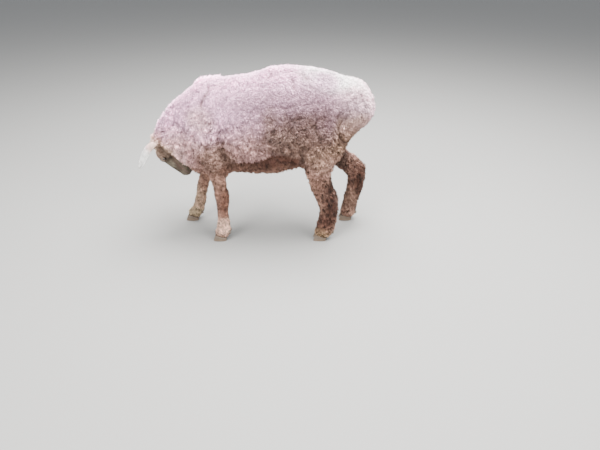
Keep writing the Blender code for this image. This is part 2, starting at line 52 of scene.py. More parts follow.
def placed(name, data, place=(0, 0, 0)):
    """An object in the scene that holds a mesh, a lamp or a camera."""
    piece = bpy.data.objects.new(name, data)
    piece.location = place
    bpy.context.scene.collection.objects.link(piece)
    return piece


camera = placed("camera", bpy.data.cameras.new("camera"), CAMERA_PLACE)
camera.rotation_euler = (CAMERA_TILT, 0, 0)
camera.data.sensor_width = 36.0
camera.data.lens = 27.72
bpy.context.scene.camera = camera


# ---------------------------------------------------------------- floor and light
# A museum's plain pale floor. Cloudy daylight comes from all over, and a large soft lamp hangs above
# and behind the animal, so that its back is the brightest and its belly the darkest. Two weaker ones
# light the neck and the rump from the near side.

FLOOR_HALF = 40.0
FLOOR_COLOUR = (0.18, 0.18, 0.176, 1)
DAYLIGHT_COLOUR = (0.93, 0.96, 1.0, 1)
DAYLIGHT = 0.95


def new_tree(data, shader):
    """The node tree of a new material or world, and the shader in it."""
    data.use_nodes = True
    return data.node_tree, data.node_tree.nodes[shader]


def wired(tree, node, inputs):
    """A node with its inputs either set or linked."""
    for socket, value in inputs.items():
        if isinstance(value, bpy.types.NodeSocket):
            tree.links.new(value, node.inputs[socket])
        else:
            node.inputs[socket].default_value = value
    return node


floor_paint = bpy.data.materials.new("floor_paint")
wired(*new_tree(floor_paint, "Principled BSDF"), {"Base Color": FLOOR_COLOUR, "Roughness": 0.8})
floor_mesh = bpy.data.meshes.new("studio_floor")
floor_corners = [(x * FLOOR_HALF, y * FLOOR_HALF, 0) for x, y in ((-1, -1), (1, -1), (1, 1), (-1, 1))]
floor_mesh.from_pydata(floor_corners, [], [(0, 1, 2, 3)])
floor_mesh.materials.append(floor_paint)
floor = placed("studio_floor", floor_mesh)

daylight = bpy.data.worlds.new("daylight")
wired(*new_tree(daylight, "Background"), {"Color": DAYLIGHT_COLOUR, "Strength": DAYLIGHT})
bpy.context.scene.world = daylight


def soft_lamp(name, place, aim, size, power, colour):
    """A square lamp at a place, turned to shine at another. Its size is in metres, its power in watts."""
    data = bpy.data.lights.new(name, "AREA")
    data.shape = "SQUARE"
    data.size = size
    data.energy = power
    data.color = colour
    lamp = placed(name, data, place)
    lamp.rotation_euler = (Vector(aim) - Vector(place)).to_track_quat("-Z", "Y").to_euler()


soft_lamp("lamp_above", (0.6, 0.2, 3.2), (0.0, 0.0, 0.5), 2.6, 960, (1.0, 0.985, 0.96))
soft_lamp("lamp_front", (-1.7, -2.4, 3.0), (0.0, 0.0, 0.45), 1.4, 280, (1.0, 0.98, 0.95))
soft_lamp("lamp_rear", (2.2, -1.8, 2.4), (0.3, 0.0, 0.45), 1.4, 175, (1.0, 0.98, 0.95))


# ---------------------------------------------------------------- skin
# The animal's hide in one piece from the lips to the hooves, with no seam where the solids meet.
# It lies inside the solids of flesh by the depth of the coat, and carries the eyelids, nostrils,
# lips, creases and wrinkles.

FLESH = ("head", "neck", "trunk", "rump", "leg_fore_left", "leg_fore_right", "leg_hind_left",
         "leg_hind_right", "ear_left", "ear_right")
EYES = ("eye_left", "eye_right")
GROWN = 0.0008  # each solid is grown by this, so that it overlaps its neighbours
FINE_VOXEL = 0.0022
SKIN_TRIANGLES = 168_000


def welded(mesh):
    """A mesh's points, with those at one place merged, and its triangles."""
    mesh.calc_loop_triangles()
    points = np.empty(len(mesh.vertices) * 3)
    mesh.vertices.foreach_get("co", points)
    corners = np.empty(len(mesh.loop_triangles) * 3, np.int64)
    mesh.loop_triangles.foreach_get("vertices", corners)
    rounded = np.round(points.reshape(-1, 3) / 1e-6).astype(np.int64)
    kept, first, place = np.unique(rounded, axis=0, return_index=True, return_inverse=True)
    triangles = place.ravel()[corners].reshape(-1, 3)
    whole = (triangles != np.roll(triangles, 1, axis=1)).all(axis=1)
    return points.reshape(-1, 3)[first], triangles[whole]


def face_normals(points, triangles):
    """Each triangle's normal, as long as twice its area: the cross product of two of its sides."""
    a, b, c = (points[triangles[:, k]] for k in range(3))
    return np.cross(b - a, c - a)


def point_normals(points, triangles):
    """The outward way at each point: the sum of the normals around it, made one long."""
    faces = face_normals(points, triangles)
    total = np.stack([sum(np.bincount(triangles[:, k], faces[:, axis], len(points)) for k in range(3))
                      for axis in range(3)], axis=1)
    return total / np.maximum(np.linalg.norm(total, axis=1, keepdims=True), 1e-12)


def mesh_of(name, points, triangles):
    """A smooth-shaded mesh from whole arrays of points and triangles."""
    mesh = bpy.data.meshes.new(name)
    mesh.vertices.add(len(points))
    mesh.vertices.foreach_set("co", np.asarray(points, np.float32).ravel())
    mesh.loops.add(triangles.size)
    mesh.loops.foreach_set("vertex_index", np.asarray(triangles, np.int32).ravel())
    mesh.polygons.add(len(triangles))
    mesh.polygons.foreach_set("loop_start", np.arange(0, triangles.size, 3, dtype=np.int32))
    mesh.update(calc_edges=True)
    mesh.shade_smooth()
    return mesh


def modified(piece):
    """A piece's mesh as its modifiers leave it. The piece is then removed."""
    graph = bpy.context.evaluated_depsgraph_get()
    graph.update()
    mesh = bpy.data.meshes.new_from_object(piece.evaluated_get(graph))
    bpy.data.objects.remove(piece)
    return mesh


def edges_of(triangles):
    """Each edge once, as two columns of point numbers."""
    pairs = np.concatenate([triangles[:, [0, 1]], triangles[:, [1, 2]], triangles[:, [2, 0]]])
    return np.unique(np.sort(pairs, axis=1), axis=0)


def relaxed(values, edges, rounds, share=0.5, back=0.0):
    """Values at the points, drawn some rounds over by a share towards the mean of their neighbours.
    A share back, with its sign turned, follows each round where the form must not shrink."""
    values = values.copy()
    count = len(values)
    valence = np.bincount(edges.ravel(), minlength=count)[:, None]
    for _ in range(rounds):
        for part in (share, -back) if back else (share,):
            mean = np.stack([np.bincount(edges[:, 0], values[edges[:, 1], k], count)
                             + np.bincount(edges[:, 1], values[edges[:, 0], k], count)
                             for k in range(values.shape[1])], axis=1) / valence
            values += (mean - values) * part
    return values


def smoothstep(value, low, high):
    """0 below low, 1 above high, and an S-shaped climb between them: 3t^2 - 2t^3."""
    t = np.clip((value - low) / (high - low), 0, 1)
    return t * t * (3 - 2 * t)


def bell(value, width):
    """1 at 0, and falling away on both sides: e to the power of minus (value / width) squared."""
    return np.exp(-(value / width) ** 2)


# The head's axes: u runs from the poll to the nose, v to the animal's left and w out of the brow.
POLL = np.array([-0.4406, 0.0, 0.486])
FACE_TUCK = math.radians(26)
FACE_TURN = math.radians(12)
face_down = np.array([math.sin(FACE_TUCK), 0, -math.cos(FACE_TUCK)])
face_left = np.array([0.0, -1.0, 0.0])
head_u = face_down * math.cos(FACE_TURN) - face_left * math.sin(FACE_TURN)
head_v = face_left * math.cos(FACE_TURN) + face_down * math.sin(FACE_TURN)
head_w = np.cross(head_u, head_v)
HEAD_AXES = np.stack([head_u, head_v, head_w], axis=1)


def in_head(points):
    """Points of the world in the head's own axes."""
    return (points - POLL) @ HEAD_AXES


def head_spots(spots, side=1):
    """Spots given in the head's own axes, in the world. A side of -1 puts them on its right."""
    return [POLL + HEAD_AXES @ (np.array(spot) * np.array([1, side, 1])) for spot in spots]


def joined(parts):
    """Several shapes' points and triangles as one pair of arrays."""
    starts = np.cumsum([0] + [len(points) for points, _ in parts])
    return (np.concatenate([points for points, _ in parts]),
            np.concatenate([corners + start for (_, corners), start in zip(parts, starts)]))


def remeshed(points, triangles, voxel):
    """The same shape in one closed skin of small, even faces."""
    whole = placed("whole", mesh_of("whole", points, triangles))
    remesh = whole.modifiers.new("remesh", "REMESH")
    remesh.mode = "VOXEL"
    remesh.voxel_size = voxel
    return welded(modified(whole))


def fused_flesh():
    """The nodes of flesh and the eyeballs, each grown a little, fused in one closed skin."""
    parts = [welded(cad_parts[node].data) for node in FLESH + EYES]
    grown = [(points + point_normals(points, corners) * GROWN, corners) for points, corners in parts]
    return remeshed(*joined(grown), FINE_VOXEL)


def thinned(points, triangles, kept, target):
    """The same skin with fewer triangles, except where kept is true."""
    dense = placed("dense", mesh_of("dense", points, triangles))
    group = dense.vertex_groups.new(name="thin")
    group.add(np.flatnonzero(~kept).tolist(), 1.0, "REPLACE")
    thin = dense.modifiers.new("thin", "DECIMATE")
    thin.ratio = target / len(triangles)
    thin.vertex_group = "thin"
    return welded(modified(dense))


skin_points, skin_triangles = fused_flesh()
skin_points = relaxed(skin_points, edges_of(skin_triangles), 8, 0.5)
place = in_head(skin_points)
# The head and ears keep their small faces: a box in the head's axes, cut off behind and above.
on_head = (place[:, 0] < 0.27) & (np.abs(place[:, 1]) < 0.16) & (place[:, 2] > -0.075)
on_head &= (skin_points[:, 0] < -0.315) & (skin_points[:, 2] < 0.53)
skin_points, skin_triangles = thinned(skin_points, skin_triangles, on_head, SKIN_TRIANGLES)

# Fine features of the left side of the head, in its own axes; the right side mirrors them.
EYE = np.array([0.086, 0.0485, 0.028])
EYE_RADIUS = 0.0135
NOSTRIL = ((0.2345, 0.0070, -0.0060), (0.2330, 0.0130, 0.0000), (0.2260, 0.0190, 0.0060),
           (0.2160, 0.0200, 0.0110))
MOUTH = ((0.2380, 0.0000, -0.0130), (0.2320, 0.0120, -0.0150), (0.2180, 0.0230, -0.0150),
         (0.2000, 0.0300, -0.0120), (0.1840, 0.0330, -0.0080))
LIP_CLEFT = ((0.2400, 0, 0.000), (0.2400, 0, -0.006), (0.238, 0, -0.012))
# The half width and depth of each groove, and the height of the lip beside it.
NOSTRIL_CUT, MOUTH_CUT, CLEFT_CUT = (0.0024, 0.0065, 0.0012), (0.0017, 0.0024, 0.0005), (0.0014, 0.0018, 0)
FINE_SPOTS = ((EYE, 0.024), (np.array(NOSTRIL[2]), 0.017), (np.array(MOUTH[1]), 0.016),
              (np.array(MOUTH[3]), 0.014))


def split_near(points, triangles, spots):
    """The same skin, with every edge near a fine feature cut in two."""
    local = in_head(points)
    local[:, 1] = np.abs(local[:, 1])
    fine = np.zeros(len(points), bool)
    for middle, reach in spots:
        fine |= np.linalg.norm(local - middle, axis=1) < reach
    sheet = bmesh.new()
    sheet.from_mesh(mesh_of("coarse", points, triangles))
    sheet.verts.ensure_lookup_table()
    near = {edge for index in np.flatnonzero(fine) for edge in sheet.verts[index].link_edges}
    bmesh.ops.subdivide_edges(sheet, edges=list(near), cuts=1, use_grid_fill=True)
    bmesh.ops.triangulate(sheet, faces=sheet.faces)
    mesh = bpy.data.meshes.new("fine")
    sheet.to_mesh(mesh)
    sheet.free()
    return welded(mesh)


skin_points, skin_triangles = split_near(skin_points, skin_triangles, FINE_SPOTS)


def nearest_nodes(points):
    """For each point, the number in FLESH of the solid whose surface is nearest."""
    parts = [welded(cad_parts[node].data) for node in FLESH]
    owner = np.repeat(np.arange(len(FLESH)), [len(corners) for _, corners in parts])
    tree = BVHTree.FromPolygons(*(part.tolist() for part in joined(parts)))
    return owner[[tree.find_nearest(point)[2] for point in points.tolist()]]


skin_edges = edges_of(skin_triangles)
node_share = np.eye(len(FLESH))[nearest_nodes(skin_points)]
node_share = relaxed(node_share, skin_edges, 5)
share = dict(zip(FLESH, node_share.T))
head_place = in_head(skin_points)

# How much of each kind of coat grows at a point of the skin. The shares of all kinds add up to one.
KNEE_LOW, KNEE_TOP = 0.30, 0.40
shank_height = 1 - smoothstep(skin_points[:, 2], KNEE_LOW, KNEE_TOP)
hind = share["leg_hind_left"] + share["leg_hind_right"]
fore = share["leg_fore_left"] + share["leg_fore_right"]
face_part = smoothstep(head_place[:, 0] + 0.9 * np.clip(head_place[:, 2], -0.02, 0.05), 0.085, 0.125)
kinds = {
    "wool": share["trunk"] + fore * (1 - shank_height),
    "neck": share["neck"],
    "rump": share["rump"],
    "thigh": hind * (1 - shank_height),
    "fore_shank": fore * shank_height,
    "hind_shank": hind * shank_height,
    "poll": share["head"] * (1 - face_part),
    "face": share["head"] * face_part,
    "ear": share["ear_left"] + share["ear_right"],
}

# Each kind of coat: depth from the skin to the tips, length of a lock, half its width, the gap
# between roots, and how steeply a lock stands at its root and at its tip, in degrees.
COAT = {
    "wool": (0.0085, 0.012, 0.0019, 0.0034, 58, 24),
    "neck": (0.008, 0.0115, 0.0019, 0.0033, 58, 24),
    "rump": (0.0095, 0.013, 0.0019, 0.0033, 60, 26),
    "thigh": (0.0092, 0.0135, 0.002, 0.0034, 56, 20),
    "fore_shank": (0.003, 0.0082, 0.0013, 0.0029, 26, 10),
    "hind_shank": (0.004, 0.0096, 0.0014, 0.003, 30, 12),
    "poll": (0.0065, 0.011, 0.0015, 0.0027, 52, 16),
    "face": (0.0013, 0.005, 0.0007, 0.0019, 18, 8),
    "ear": (0.0009, 0.005, 0.0006, 0.0017, 12, 3),
}
coat_values = sum(kinds[kind][:, None] * np.array(COAT[kind]) for kind in COAT)
coat_values /= sum(kinds.values())[:, None]

# Just above the hooves the coat thins, so that the skin meets the horn.
FOOT_LOW, FOOT_TOP = 0.040, 0.075
near_foot = (hind + fore) * (1 - smoothstep(skin_points[:, 2], FOOT_LOW, FOOT_TOP))
coat_values[:, 0] *= 1 - 0.75 * near_foot

# The body is smoothed more than the head, whose faces are small.
calm = relaxed(skin_points, skin_edges, 14, 0.5, 0.52)
on_body = 1 - share["head"] - kinds["ear"]
skin_points += (calm - skin_points) * np.clip(on_body, 0, 1)[:, None]
skin_normals = point_normals(skin_points, skin_triangles)
skin_points -= skin_normals * (coat_values[:, 0] + GROWN)[:, None]


def wander(points, size, seed, waves=7):
    """Slow hills between about -1 and 1: a sum of sine waves of about this length, all ways."""
    draw = np.random.default_rng(seed)
    ways = draw.normal(size=(3, waves))
    ways *= 2 * math.pi / size * draw.uniform(0.7, 1.4, waves) / np.linalg.norm(ways, axis=0)
    hills = np.sin(points @ ways + draw.uniform(0, 2 * math.pi, waves)).sum(axis=1)
    return hills * 0.72 / math.sqrt(waves)


def knotted(points, size, seed):
    """Round lumps, 1 at their tops and 0 in the creases between them: how far slow hills, on a place
    shifted by slower ones, stand from their middle height."""
    drift = np.stack([wander(points, 1.8 * size, seed + k) for k in (1, 2, 3)], axis=1)
    return np.minimum(1.6 * np.abs(wander(points + 0.3 * size * drift, size, seed, 16)), 1) ** 0.7


HEM_MIDDLE, HEM_REACH = 0.105, 0.080  # where the ragged edge over the belly arches, and half its length
HEM_LOW, HEM_RISE = 0.434, 0.050
HEM_WIDTH = 0.011


def hem_height(x):
    """Height of the ragged edge of wool that hangs over the belly: a bell curve along the barrel."""
    return HEM_LOW + HEM_RISE * bell(x - HEM_MIDDLE, HEM_REACH)


def along_hem(x):
    """1 along the ragged edge, and 0 in front of it and behind it."""
    return smoothstep(x, -0.14, -0.10) * (1 - smoothstep(x, 0.185, 0.215))


def hem_share(points):
    """1 at the ragged edge of the flank's wool, and 0 away from it."""
    x, z = points[:, 0], points[:, 2]
    return along_hem(x) * bell(z - hem_height(x) - 0.004, HEM_WIDTH)


def line_gap(points, line):
    """Distance from each point to a line through some points, and how far along it the nearest is."""
    best, where = np.full(len(points), np.inf), np.zeros(len(points))
    for step, (a, b) in enumerate(zip(line[:-1], line[1:])):
        t = np.clip((points - a) @ (b - a) / max((b - a) @ (b - a), 1e-12), 0, 1)
        gap = np.linalg.norm(points - a - t[:, None] * (b - a), axis=1)
        nearer = gap < best
        best[nearer], where[nearer] = gap[nearer], (step + t[nearer]) / (len(line) - 1)
    return best, where


def on_skin(line, count=24):
    """A line's control points joined, dropped on the nearest points of the skin and smoothed."""
    line = np.array(line, float)
    t = np.linspace(0, len(line) - 1, count)
    smooth = np.stack([np.interp(t, range(len(line)), line[:, k]) for k in range(3)], axis=1)
    near = np.abs(skin_points - smooth.mean(axis=0)).max(axis=1) < 0.35
    some = skin_points[near]
    found = np.array([some[((some - spot) ** 2).sum(axis=1).argmin()] for spot in smooth])
    for _ in range(3):
        found[1:-1] = (found[:-2] + 2 * found[1:-1] + found[2:]) / 4
    return found


# Creases and ridges of the body: half width, height above the skin (below, if negative) and control
# points. The shears leave ridges between their strokes, the skin folds behind the withers, and the
# wool of the neck stands in a rim behind the jaw.
FOLDS = {
    "withers": (0.013, -0.017, (-0.112, -0.01, 0.738), (-0.135, -0.04, 0.732), (-0.155, -0.05, 0.727),
        (-0.178, -0.05, 0.722), (-0.21, -0.04, 0.718)),
    "behind_withers": (0.018, 0.01, (-0.13, 0.03, 0.733), (-0.17, 0.01, 0.728), (-0.215, 0, 0.718),
        (-0.24, -0.01, 0.7)),
    "shoulder_valley": (0.012, -0.01, (-0.172, -0.05, 0.721), (-0.194, -0.08, 0.694),
        (-0.212, -0.09, 0.66), (-0.22, -0.1, 0.64)),
    "elbow": (0.014, -0.007, (-0.135, -0.13, 0.52), (-0.125, -0.13, 0.45), (-0.12, -0.11, 0.385)),
    "back_ridge": (0.01, 0.007, (0.045, -0.01, 0.774), (0.075, 0, 0.777), (0.11, 0, 0.78),
        (0.15, 0.01, 0.782)),
    "back_notch": (0.012, -0.014, (0.055, -0.07, 0.765), (0.068, -0.05, 0.772), (0.085, -0.02, 0.774)),
    "back_arc": (0.01, -0.009, (0.075, -0.06, 0.771), (0.105, -0.06, 0.772), (0.143, -0.04, 0.778),
        (0.183, -0.04, 0.777), (0.218, -0.08, 0.763), (0.245, -0.1, 0.75)),
    "back_line": (0.009, -0.007, (0.148, -0.06, 0.769), (0.166, -0.1, 0.746), (0.176, -0.13, 0.72)),
    "hip_swell": (0.013, 0.006, (0.35, -0.06, 0.74), (0.35, -0.1, 0.705), (0.345, -0.12, 0.675)),
    "rump_crease": (0.013, -0.0095, (0.372, -0.13, 0.64), (0.36, -0.14, 0.6), (0.35, -0.14, 0.575),
        (0.362, -0.15, 0.54), (0.385, -0.12, 0.505)),
    "rump_crease_right": (0.015, -0.01, (0.318, 0.14, 0.7), (0.326, 0.14, 0.649), (0.353, 0.13, 0.59),
        (0.372, 0.12, 0.53), (0.396, 0.08, 0.5)),
    "rump_cleft": (0.016, -0.011, (0.5, 0, 0.75), (0.525, 0, 0.66), (0.505, 0, 0.56), (0.45, 0, 0.5)),
    "stifle": (0.018, -0.008, (0.215, -0.15, 0.52), (0.205, -0.14, 0.455), (0.225, -0.11, 0.4)),
    "stifle_right": (0.018, -0.008, (0.245, 0.15, 0.52), (0.235, 0.14, 0.455), (0.255, 0.11, 0.4)),
    "hip_streak": (0.01, -0.007, (0.161, -0.17, 0.61), (0.183, -0.17, 0.623), (0.205, -0.16, 0.637)),
    "flank_edge": (0.008, -0.003, (0.054, -0.16, 0.655), (0.09, -0.16, 0.679), (0.149, -0.16, 0.664),
        (0.192, -0.15, 0.678), (0.278, -0.14, 0.682)),
    "shoulder_line": (0.011, -0.007, (-0.15, -0.15, 0.56), (-0.15, -0.14, 0.5), (-0.145, -0.14, 0.446),
        (-0.13, -0.12, 0.42)),
    "neck_rim": (0.012, 0.0065, (-0.415, -0.06, 0.483), (-0.385, -0.07, 0.475), (-0.36, -0.07, 0.45),
        (-0.333, -0.07, 0.415), (-0.32, -0.05, 0.375), (-0.3, -0.03, 0.345)),
    "jaw_hollow": (0.011, -0.0085, (-0.39, -0.04, 0.43), (-0.387, -0.032, 0.405), (-0.381, -0.015, 0.376),
        (-0.371, -0.002, 0.349), (-0.358, 0.007, 0.325), (-0.343, 0.014, 0.306)),
    "neck_rim_right": (0.013, 0.008, (-0.415, 0.06, 0.483), (-0.385, 0.07, 0.475), (-0.35, 0.08, 0.45),
        (-0.32, 0.09, 0.415)),
    "flank_stroke_right": (0.009, -0.004, (-0.12, 0.16, 0.64), (-0.02, 0.17, 0.65), (0.1, 0.17, 0.63),
        (0.2, 0.16, 0.65)),
    "back_stroke_right": (0.009, -0.004, (-0.08, 0.08, 0.73), (0.04, 0.09, 0.745), (0.18, 0.09, 0.74),
        (0.27, 0.08, 0.73)),
    "neck_stroke": (0.009, -0.003, (-0.395, -0.06, 0.52), (-0.345, -0.09, 0.56), (-0.285, -0.11, 0.59)),
    "neck_stroke_right": (0.009, -0.003, (-0.405, 0.05, 0.5), (-0.345, 0.09, 0.56), (-0.285, 0.11, 0.59)),
}
FOLD_END = 0.18  # the share of a fold over which it fades at each end
DEEP_FOLD = 0.010  # folds of this height and more are marked in full
# Each fold also leaves a mask: creases get painted shade and shorter locks, ridges a painted highlight.
crease, ridge_highlight = np.zeros((2, len(skin_points)))
for width, height, *line in FOLDS.values():
    gap, where = line_gap(skin_points, on_skin(line))
    fade = smoothstep(where, 0, FOLD_END) * (1 - smoothstep(where, 1 - FOLD_END, 1))
    skin_points += skin_normals * (height * fade * bell(gap, width))[:, None]
    mark = fade * min(abs(height) / DEEP_FOLD, 1) * bell(gap, 0.8 * width)
    crease, ridge_highlight = np.maximum(crease, mark * (height < 0)), np.maximum(ridge_highlight, mark * (height > 0))
coat_values[:, 1] *= 1 - 0.72 * crease

# The belly is tucked in under the ragged edge.
TUCK_DEPTH, TUCK_WIDTH, TUCK_BELOW = 0.011, 0.014, 0.020
below = skin_points[:, 2] - hem_height(skin_points[:, 0]) + TUCK_BELOW
tuck = TUCK_DEPTH * bell(below, TUCK_WIDTH) * along_hem(skin_points[:, 0]) * share["trunk"]

# The lower flank and the thigh grow in knots, the shorn back is nearly smooth, and the wool between
# the ears grows in knots of its own.
FLANK_LINE = 0.63  # the height, give or take 3 cm, below which the coat turns rough
SMOOTH_LUMP, KNOTTED_LUMP, POLL_LUMP = 0.0022, 0.0108, 0.0055
MEAN_KNOT = 0.62  # the middle height of the knots
lowness = 0.03 * wander(skin_points, 0.12, 5) - skin_points[:, 2]
rough = smoothstep(lowness, -FLANK_LINE - 0.03, -FLANK_LINE + 0.07)
rough *= (1 - 0.75 * share["rump"]) * (1 - 0.8 * kinds["poll"])
knots = 0.6 * knotted(skin_points, 0.064, 3) + 0.4 * knotted(skin_points, 0.036, 30) - MEAN_KNOT
lumps = (SMOOTH_LUMP + KNOTTED_LUMP * rough) * knots + 0.003 * rough * wander(skin_points, 0.11, 6)
lumps *= np.clip(on_body, 0, 1) * (1 - 0.35 * shank_height) * smoothstep(skin_points[:, 2], 0.03, 0.09)
tufty = kinds["poll"] * share["head"]
head_knots = knotted(skin_points, 0.024, 40) - MEAN_KNOT
lumps += POLL_LUMP * tufty * head_knots

# Grime and painted shade darken the hollows between the knots of the body and the poll; painted shade
# darkens the creases and the hollow where the cheek meets the neck, and ridges are left lighter as a painted
# highlight.
grime_and_shade = smoothstep(-knots, -0.05, 0.40) * (0.12 + 0.70 * rough)
grime_and_shade *= (1 - 0.2 * shank_height) * np.clip(on_body, 0, 1)
grime_and_shade += 0.55 * tufty * smoothstep(-head_knots, -0.05, 0.40) + 0.85 * crease
grime_and_shade *= (1 - 0.8 * ridge_highlight) * (1 - 0.35 * share["neck"] - 0.4 * share["rump"])
# Painted shade in the hollow where the cheek meets the neck.
jaw_shade = np.minimum(6 * share["head"] * share["neck"], 1) * share["head"]
grime_and_shade = np.clip(grime_and_shade + 0.8 * jaw_shade, 0, 1)
skin_points += skin_normals * (lumps - tuck)[:, None]


# The eye looks out, forward and a little up. Its slit runs from the inner corner, low and towards
# the nose, to the outer corner.
LID_THICKNESS = 0.0017
LID_GAP = 0.0022  # how far behind the eyeball's face the skin drops inside the slit
LID_FAR = 0.030  # the lids reach no farther than this from the eye's middle
SLIT_HALF_LENGTH, SLIT_HALF_HEIGHT, SLIT_RISE = 0.0142, 0.0078, 0.0012


def unit(vectors):
    """Vectors made one long."""
    return vectors / np.maximum(np.linalg.norm(vectors, axis=-1, keepdims=True), 1e-12)


def eye_axes(side):
    """An eye's middle in the world, and its axes: along the slit to the nose, up to the brow, and out."""
    out = unit(np.array([0.16, 0.86, 0.46]) * np.array([1, side, 1]))
    along = np.array([1.0, 0.0, -0.30])
    along = unit(along - (along @ out) * out)
    up = np.cross(out, along) * side
    if up[2] < 0:
        up = -up
    return head_spots([EYE], side)[0], HEAD_AXES @ np.stack([along, up, out], axis=1)


def shape_lids(points, side):
    """Lids over an eyeball. Around the slit the skin is drawn onto a ball a little larger than the
    eye, and inside the slit it drops behind the eye's face. Returns how bare the skin is."""
    middle, axes = eye_axes(side)
    local = (points - middle) @ axes
    far = np.linalg.norm(local, axis=1)
    a, b, c = (local / far[:, None] * EYE_RADIUS).T
    corner = np.clip(1 - (a / SLIT_HALF_LENGTH) ** 2, 0, 1) ** 0.75
    lift = np.where(b > SLIT_RISE, 1.12, 0.80) * SLIT_HALF_HEIGHT
    outside = np.sqrt((a / SLIT_HALF_LENGTH) ** 2 + ((b - SLIT_RISE) / lift) ** 2) - 1
    outside += 0.35 * (1 - corner) * np.clip(np.abs(b) / 0.004, 0, 1)
    rim = smoothstep(outside, -0.10, 0.08)
    fold = bell(outside - 0.20, 0.16) * 0.0011 - bell(outside - 0.62, 0.16) * 0.0012
    ball = EYE_RADIUS - LID_GAP + rim * (LID_GAP + LID_THICKNESS) + fold
    before = (c > 0) * (far < LID_FAR)
    pull = (1 - smoothstep(outside, 0.55, 1.5)) * before
    points += (local / far[:, None] * (ball - far)[:, None] * pull[:, None]) @ axes.T
    return bell(outside, 0.22) * before


def carve(points, line, width, depth, lip):
    """A groove along a line, with a raised lip on both sides: a bell curve in and a wider one out.
    Returns how bare the skin is."""
    gap, where = line_gap(points, on_skin(line))
    normals = point_normals(points, skin_triangles)
    taper = np.sqrt(np.clip(4 * (where + 0.15) * (1.15 - where) / 1.3, 0, 1))
    rise = lip * bell(gap - 1.9 * width, width) - depth * taper * bell(gap, width)
    points += normals * rise[:, None]
    return bell(gap, 1.6 * width)


bare = np.zeros(len(skin_points))
for side in (1, -1):
    bare = np.maximum(bare, shape_lids(skin_points, side))
    bare = np.maximum(bare, carve(skin_points, head_spots(NOSTRIL, side), *NOSTRIL_CUT))
    bare = np.maximum(bare, 0.8 * carve(skin_points, head_spots(MOUTH, side), *MOUTH_CUT))
bare = np.maximum(bare, 0.7 * carve(skin_points, head_spots(LIP_CLEFT), *CLEFT_CUT))
nose_leather = smoothstep(head_place[:, 0], 0.226, 0.236) * (head_place[:, 2] > -0.012)
nose_leather *= share["head"] > 0.5
bare = np.clip(np.maximum(bare, nose_leather), 0, 1)


